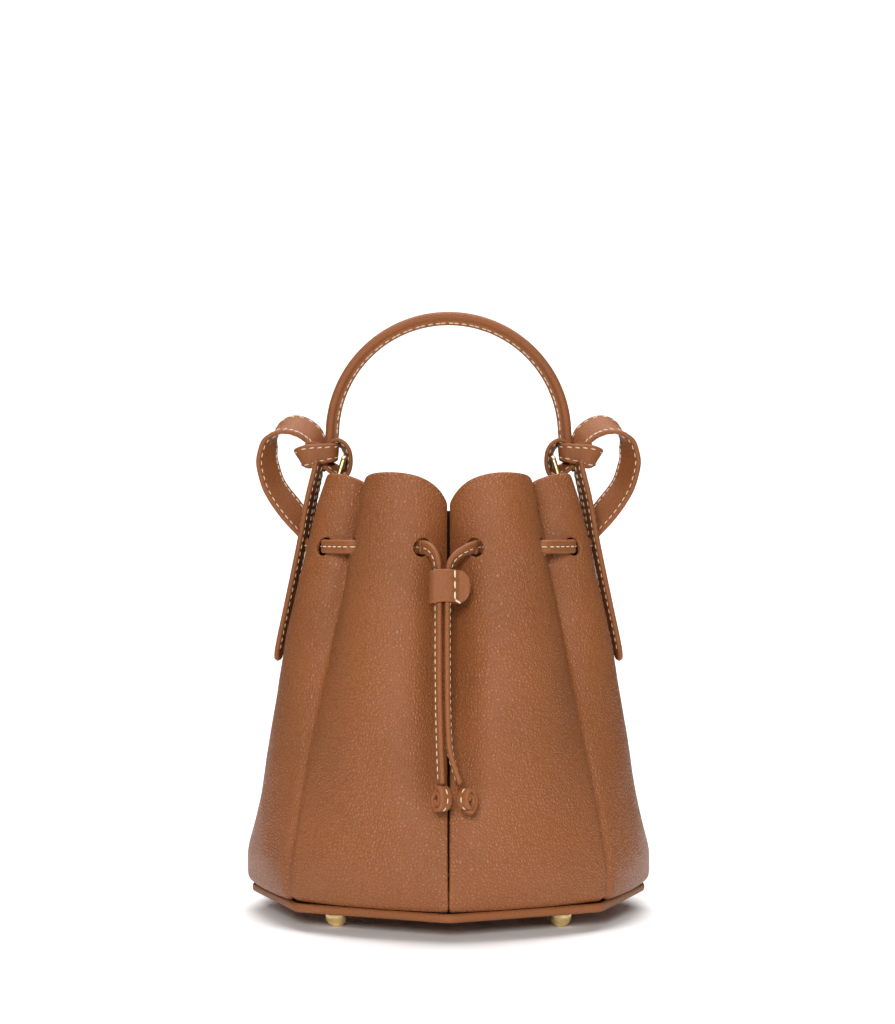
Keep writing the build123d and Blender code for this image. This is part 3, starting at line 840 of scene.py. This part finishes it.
# ---- panels ----
def hole_shares():
    """Each hole's flute, its middle's share of that flute, and its patch's half share."""
    front, side, _ = outline(CORD_Z)
    return [
        (0, HOLE_FROM_VALLEY / front.length, PATCH / front.length),
        (0, 1 - HOLE_FROM_VALLEY / front.length, PATCH / front.length),
        (1, HOLE_FROM_VALLEY / side.length, PATCH / side.length),
        (1, 1 - HOLE_FROM_STRIP / side.length, PATCH / side.length),
    ]


def panel_columns():
    """Columns across a quarter as (flute, share), and where each hole's four steps start."""
    columns, starts = [(0, 0.012)], []
    for number, (flute, middle, half) in enumerate(hole_shares()):
        last_share = columns[-1][1] if columns[-1][0] == flute else 0.0
        gap = middle - half - last_share
        steps = 5 if number % 2 == 0 else 8
        columns += [(flute, last_share + gap * k / steps) for k in range(1, steps + 1)]
        starts.append(len(columns) - 1)
        columns += [(flute, middle + half * (k - 2) / 2) for k in range(1, 5)]
        if number % 2:
            share = columns[-1][1]
            tail = 4 if flute == 0 else 2
            columns += [(flute, share + (1 - share) * k / tail) for k in range(1, tail + 1)]
    columns += [(2, 0.5), (2, 0.92)]
    return columns, starts


def panel_heights():
    """Row heights from the bottom up to the holes' patches."""
    low = [BOTTOM_Z, 13.3, 14.2, 15.6, 17.5, 20.0]
    step_count = 34
    start, stop = low[-1], CORD_Z - PATCH
    low += [start + (stop - start) * k / step_count for k in range(1, step_count + 1)]
    return low


class Shell:
    """Points and faces of a closed shell, found again by their keys."""

    def __init__(self):
        self.points, self.faces, self.keys = [], [], {}

    def point(self, key, make):
        if key not in self.keys:
            self.keys[key] = len(self.points)
            self.points.append(make())
        return self.keys[key]

    def face(self, corners, material=0):
        self.faces.append((tuple(corners), material))


# share of the depth, and how far the edge bulges out there
RIM_STEPS = [(0.18, 0.55), (0.5, 0.8), (0.82, 0.55)]


def grid_border(across, rows):
    """The places of a grid's edge, once round."""
    border = [(i, 0) for i in range(across)] + [(across - 1, j) for j in range(1, rows)]
    border += [(i, rows - 1) for i in reversed(range(across - 1))]
    return border + [(0, j) for j in reversed(range(1, rows - 1))]


def shell_grid(quarter, columns, row_z, rows, depths, holes, inner_material):
    """A quarter's shell: outer and inner grids, round edges and the holes with their walls."""
    shell = Shell()
    across = len(columns)
    outer, inner = depths

    def grid_point(i, j, depth):
        flute, share = columns[i]
        return wall_point(quarter, row_z(i, j), flute, share, depth)

    def vertex(i, j, layer):
        return shell.point((i, j, layer), lambda: grid_point(i, j, depths[layer]))

    skipped = set()
    for start, row, _ in holes:
        skipped |= {(start + a, row + b) for a in range(4) for b in range(4)}
    for i in range(across - 1):
        for j in range(rows - 1):
            if (i, j) in skipped:
                continue
            for layer in (0, 1):
                corners = [vertex(i, j, layer), vertex(i + 1, j, layer),
                           vertex(i + 1, j + 1, layer), vertex(i, j + 1, layer)]
                shell.face(corners, inner_material if layer else 0)
    border = grid_border(across, rows)

    def rim_point(i, j, step):
        share, reach = RIM_STEPS[step]
        depth = outer + (inner - outer) * share
        here = grid_point(i, j, depth)
        inside = (min(max(i, 1), across - 2), min(max(j, 1), rows - 2))
        away = (here - grid_point(*inside, depth)).normalized()
        return here + away * reach

    def rim_chain(i, j):
        chain = [vertex(i, j, 0)]
        for step in range(len(RIM_STEPS)):
            chain.append(shell.point((i, j, "rim", step), lambda s=step: rim_point(i, j, s)))
        return chain + [vertex(i, j, 1)]

    for one, two in zip(border, border[1:] + border[:1]):
        first, second = rim_chain(*one), rim_chain(*two)
        for a in range(len(first) - 1):
            shell.face([first[a], first[a + 1], second[a + 1], second[a]])
    for number, (start, row, place) in enumerate(holes):
        punch(shell, quarter, place, (start, row, number), vertex, depths, inner_material)
    return shell


HOLE_RADIUS = 4.4
HOLE_POINTS = 16


def punch(shell, quarter, place, spot, vertex, depths, inner_material):
    """Rings from a patch's square border to a round hole, and the hole's rounded wall."""
    flute, middle, half = place
    start, row, number = spot
    outer, inner = depths
    per_mm = half / PATCH
    levels = [(5.2, outer), (4.75, outer), (4.42, outer + 0.3), (HOLE_RADIUS, outer + 1.2),
              (4.42, inner - 0.3), (4.75, inner), (5.2, inner)]

    def ring_point(k, radius, depth):
        angle = 2 * pi * k / HOLE_POINTS - pi * 0.75
        share = middle + radius * cos(angle) * per_mm
        return wall_point(quarter, CORD_Z + radius * sin(angle), flute, share, depth)

    def around(level):
        radius, depth = levels[level]
        return [shell.point(("hole", number, level, k), lambda k=k: ring_point(k, radius, depth))
                for k in range(HOLE_POINTS)]

    border = grid_border(5, 5)
    chains = [[vertex(start + a, row + b, 0) for a, b in border]]
    chains += [around(level) for level in range(len(levels))]
    chains.append([vertex(start + a, row + b, 1) for a, b in border])
    for index, (first, second) in enumerate(zip(chains, chains[1:])):
        material = inner_material if index >= len(chains) - 3 else 0
        for k in range(HOLE_POINTS):
            m = (k + 1) % HOLE_POINTS
            shell.face([first[k], first[m], second[m], second[k]], material)


QUARTERS = {
    "front_left": (1, 1),
    "front_right": (-1, 1),
    "back_left": (1, -1),
    "back_right": (-1, -1),
}
FACING_BOTTOM = 168.0
LINING_BOTTOM = 16.5
# makes up for what the subdivision takes off the top edge
TOP_RAISE = 0.4
LINING_DEPTHS = (2.75, 3.5)


def make_panel(name, quarter):
    """One quarter of the body: grained outside, smooth facing inside, holes and turned edges."""
    columns, starts = panel_columns()
    low = panel_heights()
    above = 8

    def row_z(i, j):
        if j < len(low):
            return low[j]
        if j < len(low) + 4:
            return CORD_Z - PATCH + PATCH * (j - len(low) + 1) / 2
        share = (j - len(low) - 3) / above
        patch_top = CORD_Z + PATCH
        return patch_top + (top_edge(*columns[i]) + TOP_RAISE - patch_top) * share

    rows = len(low) + 4 + above
    holes = [(start, len(low) - 1, place) for start, place in zip(starts, hole_shares())]
    shell = shell_grid(quarter, columns, row_z, rows, (0.0, LEATHER), holes, 1)
    panel = piece(f"panel_{name}_leather", shell.points, shell.faces, [BODY, FACING],
                  "body_leather", "bag")
    subdivide(panel)
    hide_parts(f"panel_{name}")


def make_lining(name, quarter):
    """The suede lining inside one quarter, up to the facing."""
    columns = panel_columns()[0][::2]
    count = 22

    def row_z(_, j):
        return LINING_BOTTOM + (FACING_BOTTOM - LINING_BOTTOM) * j / (count - 1)

    shell = shell_grid(quarter, columns, row_z, count, LINING_DEPTHS, [], 0)
    lining = piece(f"lining_{name}_suede", shell.points, shell.faces, [SUEDE], "lining", "bag")
    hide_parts(f"lining_{name}")


# the near-black strip in each seam paints the shade of the seam's gap
TAPE_BOTTOM = 13.5
TAPE_BELOW_TOP = 16.0
TAPE_BEHIND = 3.4
TAPE_THICK = 0.7


def make_seam(name, end):
    """A strip inside a seam, which closes the gap between two panels; its near-black colour is the
    panels' dark edges and painted shade of the seam's gap.
    """
    keys = []
    for step in range(24):
        z = TAPE_BOTTOM + (TOP_Z - SEAM_DIP - TAPE_BELOW_TOP) * step / 23
        near = at_height(z)[0] - seam_pull(z, 0.0) - TAPE_BEHIND
        keys.append([0.0, -end * near, z, 1.0, 0.0, 0.0])
    ribbon(f"seam_binding_{name}", blended(keys, 60), "bag", [], TAPE_THICK, slot="body_leather",
           material=DARK_EDGE_AND_SHADE)


# ---- base ----
RIM_CORNER = 47.5
RIM_RADIUS = 97.6
RIM_Z = 8.5
RIM_HEIGHT = 4.3
RIM_WIDTH = 5.2
RIM_ROUND = 1.5


def octagon(radius, rounding):
    """Points of the base's eight-sided outline with eased corners, evenly enough spaced."""
    quarter = [0, RIM_CORNER, 90, 180 - RIM_CORNER]
    corners = [Vector(polar(radius, turn + a)) for turn in (0, 180) for a in quarter]
    points = []
    for index, corner in enumerate(corners):
        before, after = corners[index - 1], corners[(index + 1) % len(corners)]
        start = corner + (before - corner).normalized() * rounding
        stop = corner + (after - corner).normalized() * rounding
        for k in range(6):
            t = k / 5
            points.append(start * (1 - t) ** 2 + corner * 2 * t * (1 - t) + stop * t * t)
        following = after + (corner - after).normalized() * rounding
        points += [stop.lerp(following, k / 6) for k in range(1, 6)]
    return points


def rim_section():
    """The piping's outline: flat top and bottom with well rounded edges."""
    flat, tall, radius = RIM_WIDTH / 2, RIM_HEIGHT / 2, RIM_ROUND
    turns = [radians(a) for a in (0, 30, 60, 90)]
    corner = [(flat - radius * (1 - cos(a)), tall - radius * (1 - sin(a))) for a in turns]
    right = [(x, -y) for x, y in reversed(corner)] + corner
    return right + [(-x, y) for x, y in reversed(right)]


def round_base(name, z, section, material):
    """A section taken all round the base's outline at a height."""
    rows = []
    for point in octagon(RIM_RADIUS - RIM_WIDTH / 2, 3.0):
        outwards = Vector((point.x, point.y, 0)).normalized()
        rows.append([point.x, point.y, z, *outwards])
    points, faces = sweep(frames(rows, closed=True), lambda index: section, closed=True)
    return piece(name, points, faces, [material], "body_leather", "bag")


def make_rim():
    """The rolled leather piping round the base."""
    rim = round_base("base_rim_piping", RIM_Z + RIM_HEIGHT / 2, rim_section(), STRAP)
    subdivide(rim)
    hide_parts("base_rim")


def make_rim_line():
    """The dark line between the rim and the body: edge paint, and painted shade of the crevice there.
    """
    half, tall, bevel = 1.2, 0.3, 0.3
    section = [(half, 0.0), (half - bevel, tall), (-half, tall), (-half, -tall), (half - bevel, -tall)]
    # near-black: partly edge paint, partly painted shadow of the crevice
    round_base("base_edge_paint_and_shade_line", RIM_Z + RIM_HEIGHT + 0.1, section, DARK_EDGE_AND_SHADE)


def base_sheet(name, node, radius, z, thick, material, slot, ripple_height):
    """An eight-sided sheet with rounded edges and a slight ripple."""
    rings = [(0.0, 1.0), (0.4, 1.0), (0.75, 1.0), (0.94, 1.0), (0.985, 0.8), (1.0, 0.0)]
    border = octagon(radius, 6.0)
    count = len(border)
    points, faces = [], []
    levels = [(share, 1, part) for share, part in rings] + [(s, -1, p) for s, p in rings[-2::-1]]
    for share, sign, part in levels:
        for point in border:
            ripple = noise.noise(Vector((point.x * share / 20, point.y * share / 20, z)))
            rise = ripple * ripple_height * (1 - share)
            height = z + thick / 2 + sign * part * thick / 2 + rise
            points.append((point.x * share, point.y * share, height))
    for ring in range(len(levels) - 1):
        faces += ring_faces(ring * count, (ring + 1) * count, count)
    sheet = piece(name, points, faces, [material], slot, "bag")
    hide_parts(node)


# ---- the drawcord where the body holds it ----
CORD_INSIDE = 5.5
CORD_OUTSIDE = 1.8
CORD_END_INSIDE = 0.6
# how far from each bend's corner it starts, and the most of the way to the next corner
CORD_BEND = 3.2
CORD_BEND_SHARE = 0.3


def quarter_holes():
    """Point and outward way of the front left quarter's holes."""
    holes = []
    for flute, share, _ in hole_shares():
        run = run_at(CORD_Z, flute, share)
        here, after = on_outline(CORD_Z, run), on_outline(CORD_Z, run + 0.2)
        way = Vector((after[1] - here[1], here[0] - after[0], 0)).normalized()
        place = Vector((*here, CORD_Z))
        holes.append((place, way if way.dot(Vector((*here, 0))) > 0 else -way))
    return holes


def make_drawcord():
    """The flat stitched lace through all sixteen holes, round the back from hole to hole."""
    front = quarter_holes()
    left = front + [(Vector((p.x, -p.y, p.z)), Vector((w.x, -w.y, 0))) for p, w in reversed(front)]
    holes = left + [(Vector((-p.x, p.y, p.z)), Vector((-w.x, w.y, 0))) for p, w in reversed(left)]
    places = [holes[0][0] - holes[0][1] * CORD_END_INSIDE]
    for number, (place, way) in enumerate(holes):
        inwards, outwards = place - way * CORD_INSIDE, place + way * CORD_OUTSIDE
        places += [outwards, inwards] if number % 2 == 0 else [inwards, outwards]
    places = [places[0]] + places[2:-1] + [holes[-1][0] - holes[-1][1] * CORD_END_INSIDE]
    eased = []
    for before, place, after in zip(places, places[1:], places[2:]):
        for other in (before, after):
            eased.append(place.lerp(other, min(CORD_BEND_SHARE, CORD_BEND / (other - place).length)))
    keys = [[*place, 0, 0, LACE_WIDTH / 2] for place in [places[0], *eased, places[-1]]]
    cord = ribbon("drawcord_lace", blended(keys, 420), "bag", [0], LACE_THICK, slot="cord_leather")
    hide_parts("drawcord")


# ---- handle ----
HANDLE_RADIUS = 58.6
HANDLE_CENTRE_Z = 234.3
HANDLE_TUBE = 2.35
FLANGE_END = 54.1
# distance from the middle and height of each leg's points, from its foot up
HANDLE_LEG = [(60.2, 224.0), (59.4, 229.0)]
# length without stitches at each end
HANDLE_BARE = 7
# how far inwards from the roll's middle the stitches are, and how far out on each face
FLANGE_STITCH = (3.45, 0.98)


def handle_section():
    """The rolled handle: a round roll with a thin sewn flange, x away from the arch's centre."""
    reach = HANDLE_RADIUS - FLANGE_END
    roll = [radians(a) for a in range(-145, 146, 22)]
    outer = [(HANDLE_TUBE * cos(a), HANDLE_TUBE * sin(a)) for a in roll]
    upper = [(-HANDLE_TUBE * 0.98, 1.0), (-3.0, 0.98), (-3.45, 0.9), (-3.9, 1.0), (-reach + 0.3, 0.9)]
    lower = [(x, -y) for x, y in reversed(upper)]
    return outer + upper + [(-reach, 0.4), (-reach, -0.4)] + lower


def handle_rows():
    """Rows of the handle: up one leg, over the arch and down the other leg."""
    places = [Vector((-x, 0, z)) for x, z in HANDLE_LEG]
    places += [
        Vector((-HANDLE_RADIUS * cos(a), 0, HANDLE_CENTRE_Z + HANDLE_RADIUS * sin(a)))
        for a in (radians(d) for d in range(1, 180, 2))
    ]
    places += [Vector((x, 0, z)) for x, z in reversed(HANDLE_LEG)]
    centre = Vector((0, 0, HANDLE_CENTRE_Z))
    keys = []
    for place in places:
        outwards = (place - centre).normalized()
        if place.z < HANDLE_CENTRE_Z:
            outwards = Vector((copysign(1, place.x), 0, 0))
        keys.append([*place, *outwards])
    return blended(keys, 150)


def make_handle():
    """The arched handle with its legs in the knots."""
    rows = handle_rows()
    path = frames(rows)
    section = handle_section()
    points, faces = sweep(path, lambda index: section)
    handle = piece("handle_leather", points, faces, [STRAP], "strap_leather", None)
    subdivide(handle)
    marks = []
    length = marks_along(rows)[-1]
    sewn_length = length - 2 * HANDLE_BARE
    count = int(sewn_length / STITCH_PITCH)
    for number in range(count):
        at = (HANDLE_BARE + (number + 0.5) * sewn_length / count) / length * (len(path) - 1)
        place = path[int(at)]
        for face in (1, -1):
            inwards = place.side * -FLANGE_STITCH[0]
            middle = place.middle + inwards + place.normal * (face * FLANGE_STITCH[1])
            marks.append((middle, place.along, place.normal * face))
    sewn = stitches("handle_stitches", marks, None)
    for part in (handle, sewn):
        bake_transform(part)
    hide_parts("handle")


# ---- knots, bows and tails ----
# near edge's x and z, and how far the far edge is from it in x, y and z, on the left side;
# the tail's edges are level, so its rows have no z offset
BOW_ROWS = [
    (-67.5, 225.5, 5.4, 11.4, 7.0),
    (-70.0, 229.8, 5.6, 11.4, 8.2),
    (-74.4, 233.2, 5.2, 11.6, 8.8),
    (-79.3, 234.6, 5.0, 11.6, 8.9),
    (-83.8, 234.2, 5.0, 11.8, 8.2),
    (-87.8, 232.4, 5.6, 12.0, 7.2),
    (-91.5, 228.8, 6.8, 12.2, 6.2),
    (-93.6, 223.7, 8.0, 11.8, 5.8),
    (-94.2, 219.0, 8.3, 11.7, 5.9),
    (-93.4, 213.8, 8.4, 11.4, 6.3),
    (-91.2, 206.8, 8.3, 11.2, 6.8),
    (-87.7, 200.4, 8.0, 10.6, 8.0),
    (-82.8, 193.5, 7.6, 9.6, 9.4),
    (-77.8, 187.5, 6.6, 9.6, 9.6),
    (-74.3, 183.6, 4.6, 11.0, 8.0),
    (-72.2, 181.6, 2.6, 13.0, 5.0),
    (-70.3, 182.6, 1.2, 14.2, 2.0),
    (-69.3, 186.0, 0.6, 14.5, 0.5),
    (-67.4, 200.0, 0.4, 14.5, 0.0),
    (-64.6, 214.0, 0.4, 14.5, 0.0),
    (-63.8, 221.0, 0.4, 13.0, 0.0),
]
BOW_NEAR_Y = -2.1
TAIL_ROWS = [
    (-65.0, 221.0, 2.0, 12.6),
    (-66.0, 216.0, 2.0, 12.6),
    (-69.4, 202.0, 2.2, 12.6),
    (-73.2, 181.0, 2.4, 12.5),
    (-79.2, 152.0, 2.4, 12.5),
    (-83.2, 133.0, 2.2, 12.6),
    (-84.9, 122.7, 1.8, 12.7),
]
TAIL_NEAR_Y = -15.6


def side_strap(node, keys, side, count, body="bag", **look):
    """A strap from the left side's keys, or the same mirrored, which replaces a node's solid."""
    made = ribbon(f"{node}_leather", blended(mirrored(keys, side), count), body, **look)
    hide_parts(node)


def edge_keys(rows, near_y):
    """Keys from rows of the near edge's x and z and the far edge's offset in x, y and z."""
    keys = []
    for x, z, across, deep, rise in rows:
        middle = (x + across / 2, near_y + deep / 2, z + rise / 2)
        keys.append([*middle, -across / 2, -deep / 2, -rise / 2])
    return keys


def make_bow(name, side):
    """The knot's large bow, seen from inside below and from outside at its top."""
    side_strap(f"bow_{name}", edge_keys(BOW_ROWS, BOW_NEAR_Y), side, 150)


def make_tail(name, side):
    """The strap's free end, hanging on edge down the side to a round tip."""
    rows = [(*row, 0.0) for row in TAIL_ROWS]
    side_strap(f"tail_{name}", edge_keys(rows, TAIL_NEAR_Y), side, 96, f"tail_{name}",
               round_ends=(False, True))


BAND_CENTRE = (-64.4, 224.2)
BAND_HALF_LENGTH = 8.9
BAND_HALF_DEPTH = 6.4
BAND_TILT = radians(9)
BAND_BULGE = 0.62
# each at the inner end, and how much it changes by the outer end
BAND_LEAN = (0.4, -3.2)
BAND_HALF_WIDTH = (4.5, 1.4)
# how much narrower the outer end is, and where along the band that starts
BAND_PINCH = (1.5, 0.7)


def bulged(value):
    """A sine or cosine, swollen so that the loop is squarer than an oval."""
    return copysign(abs(value) ** BAND_BULGE, value)


def make_band(name, side):
    """The knot's tight band: a closed loop, higher towards the middle, leaning at its outer end."""
    along = Vector((cos(BAND_TILT), 0, sin(BAND_TILT)))
    keys = []
    for degrees in range(0, 360, 12):
        a = radians(degrees)
        out = bulged(cos(a)) * BAND_HALF_LENGTH
        middle = Vector((BAND_CENTRE[0], 0, BAND_CENTRE[1])) + along * out
        middle.y = bulged(sin(a)) * BAND_HALF_DEPTH
        outer = (BAND_HALF_LENGTH - out) / (2 * BAND_HALF_LENGTH)
        lean = BAND_LEAN[0] + BAND_LEAN[1] * outer
        pinch = BAND_PINCH[0] * max(0.0, (outer - BAND_PINCH[1]) / (1 - BAND_PINCH[1])) ** 2
        keys.append([*middle, lean, 0.0, BAND_HALF_WIDTH[0] + BAND_HALF_WIDTH[1] * outer - pinch])
    keys.append(keys[0])
    rows = blended(mirrored(keys, side), 84)[:-1]
    band = ribbon(f"knot_band_{name}_leather", rows, "bag", closed=True)
    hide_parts(f"knot_band_{name}")


def make_gather(name, side):
    """The straps' layers gathered in the knot, which show under and over its band."""
    for number, y in enumerate((-2.9, 0.1, 3.0)):
        keys = [
            [-66.5 - number * 0.4, y, 217.6, 6.2, 0.5, 0.0],
            [-65.4, y, 224.0, 6.6, 0.0, 0.0],
            [-64.4 + number * 0.4, y, 230.2, 6.2, -0.5, 0.6],
        ]
        ribbon(f"knot_layer_{name}_{number}", blended(mirrored(keys, side), 16), "bag")
    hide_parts(f"handle_end_{name}")


# ---- rings' leather ----
def make_eye(name, side):
    """The strap's eye round the ring's upper bar, from the knot over and back under it."""
    keys = [
        [-60.6, 1.2, 226.0, -0.4, -5.2, 0.8],
        [-58.2, 1.0, 229.4, -0.2, -5.3, 1.0],
        [-55.2, 0.8, 230.6, 0.4, -5.4, 1.2],
        [-52.1, 0.5, 229.0, 1.0, -5.4, 1.0],
        [-50.2, 0.3, 225.9, 1.5, -5.4, 0.6],
        [-49.5, 0.2, 221.8, 1.6, -5.4, 0.1],
        [-49.8, 0.1, 218.0, 1.5, -5.4, -0.4],
        [-51.1, 0.0, 215.4, 1.1, -5.3, -1.4],
        [-54.0, 0.2, 215.8, 0.4, -5.2, -2.5],
        [-57.6, 0.6, 217.8, 0.0, -5.0, -2.6],
        [-61.0, 1.0, 220.2, 0.0, -5.0, -2.0],
    ]
    side_strap(f"ring_eye_{name}", keys, side, 56, thick=2.1)


# x and z of the tab, from its sewn end over the ring's bar and back
TAB_ROUTE = [
    (-60.6, 187.5), (-59.4, 193.0), (-58.6, 199.0), (-58.9, 203.4), (-58.4, 206.2),
    (-56.6, 207.2), (-54.8, 206.0), (-54.5, 203.2), (-56.6, 199.0), (-58.0, 193.0),
]
TAB_HALF = 5.4


def make_tab(name, side):
    """The sewn leather loop that holds the ring's lower bar to the bag's side."""
    keys = [[x, 0.0, z, 0.0, -TAB_HALF, 0.0] for x, z in TAB_ROUTE]
    side_strap(f"ring_tab_{name}", keys, side, 56, thick=1.4)


# ---- slider ----
SLOPE = radians(11)
SLIDER_TOP = (-78.45, 168.9)
SLIDER_TALL = 15.3
SLIDER_THICK = 1.5
SLIDER_TIP = 5.6
# x across and depth behind the laces' line: from the tab round both laces and back to it
SLIDER_ROUTE = [
    (10.3, -1.0), (7.5, -1.1), (4.6, -1.5), (2.6, -3.0), (0.6, -4.3), (-3.5, -4.7), (-6.7, -4.3),
    (-8.2, -2.4), (-8.4, 0.0), (-8.2, 2.4), (-6.5, 4.2), (-3.0, 4.5), (0.4, 3.8), (2.6, 1.8),
    (4.6, 0.4), (7.5, 0.5), (10.3, 0.5),
]
# x, depth and distance down of the tab's stitches, and of the one that turns its corner
SLIDER_STITCHES = [(2.9, -3.75, 2.2), (2.9, -3.75, 7.2), (2.9, -3.75, 12.2)]
SLIDER_CORNER_STITCH = (4.0, -3.1, 14.8)


def slider_place(x, deep, down):
    """A point of the slider: x across, deep behind the laces' line and down along their slope."""
    y = SLIDER_TOP[0] - down * sin(SLOPE) + deep * cos(SLOPE)
    z = SLIDER_TOP[1] - down * cos(SLOPE) - deep * sin(SLOPE)
    return Vector((x, y, z))


def make_slider():
    """The leather slider: a loop round both laces, sewn down to a double round tab."""
    half = slider_place(0, 0, -SLIDER_TALL / 2) - slider_place(0, 0, 0)
    keys = []
    for x, deep in SLIDER_ROUTE:
        middle = slider_place(x, deep, SLIDER_TALL / 2 + (0.5 if x < -6 else 0.0))
        keys.append([*middle, *half])
    slider = ribbon("cord_slider_leather", blended(keys, 110), "slider", [], SLIDER_THICK,
                    round_ends=(True, True), tip=SLIDER_TIP, slot="cord_leather")
    subdivide(slider)
    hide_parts("cord_slider")
    down_way = (slider_place(0, 0, 1) - slider_place(0, 0, 0)).normalized()
    forward = (slider_place(0, -1, 0) - slider_place(0, 0, 0)).normalized()
    curl = Vector((0.75, 0, -0.45)).normalized()
    marks = [(slider_place(*spot), down_way, forward) for spot in SLIDER_STITCHES]
    marks.append((slider_place(*SLIDER_CORNER_STITCH), curl, forward))
    stitches("cord_slider_stitches", marks, "slider", length=3.7, radius=0.46)


# ---- all of it ----
make_laces()
for quarter_name, quarter_sides in QUARTERS.items():
    make_panel(quarter_name, quarter_sides)
    make_lining(quarter_name, quarter_sides)
make_seam("front", 1)
make_seam("back", -1)
make_rim()
make_rim_line()
base_sheet("base_panel_leather", "base_panel", 92.0, 8.5, 1.8, BODY, "body_leather", 0.0)
base_sheet("lining_floor_suede", "lining_floor", 89.8, 14.3, 0.8, SUEDE, "lining", 0.5)
make_drawcord()
make_handle()
for side_name, side_sign in (("left", 1), ("right", -1)):
    make_bow(side_name, side_sign)
    make_tail(side_name, side_sign)
    make_band(side_name, side_sign)
    make_gather(side_name, side_sign)
    make_eye(side_name, side_sign)
    make_tab(side_name, side_sign)
make_slider()

CARRIED = {
    "base_board": BOARD,
    "feet": GOLD,
    "foot_washers": GOLD,
    "foot_nuts": GOLD,
    "ring_left": GOLD,
    "ring_right": GOLD,
    "handle_core": SUEDE,
}
for node_name, material in CARRIED.items():
    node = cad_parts[node_name]
    node.data.materials.clear()
    node.data.materials.append(material)


def make_floor():
    """A white studio floor that curves up behind the bag, as wide as the view at each depth."""
    flat_start, flat_end, radius, wall_top = -1.35, 1.2, 1.5, 1.6
    profile = [(flat_start, 0.0), (-0.3, 0.0), (flat_end, 0.0)]
    profile += [(flat_end + radius * sin(a), radius - radius * cos(a))
                for a in (radians(d) for d in range(6, 91, 6))]
    profile.append((flat_end + radius, wall_top))
    least, margin, view_share = 0.5, 0.12, 0.24
    widths = [max(least, margin + view_share * (y - CAMERA_PLACE[1])) for y, _ in profile]
    points = [(sign * half, y, z) for half, (y, z) in zip(widths, profile) for sign in (-1, 1)]
    faces = [(2 * k, 2 * k + 1, 2 * k + 3, 2 * k + 2) for k in range(len(profile) - 1)]
    mesh = bpy.data.meshes.new("floor")
    mesh.from_pydata(points, [], faces)
    paper = speckled("floor_paper", (400.0, 3.0), (0.93, 0.93, 0.93), (0.95, 0.95, 0.95), 0.9)
    mesh.materials.append(paper)
    for polygon in mesh.polygons:
        polygon.use_smooth = True
    linked("floor", mesh)


make_floor()
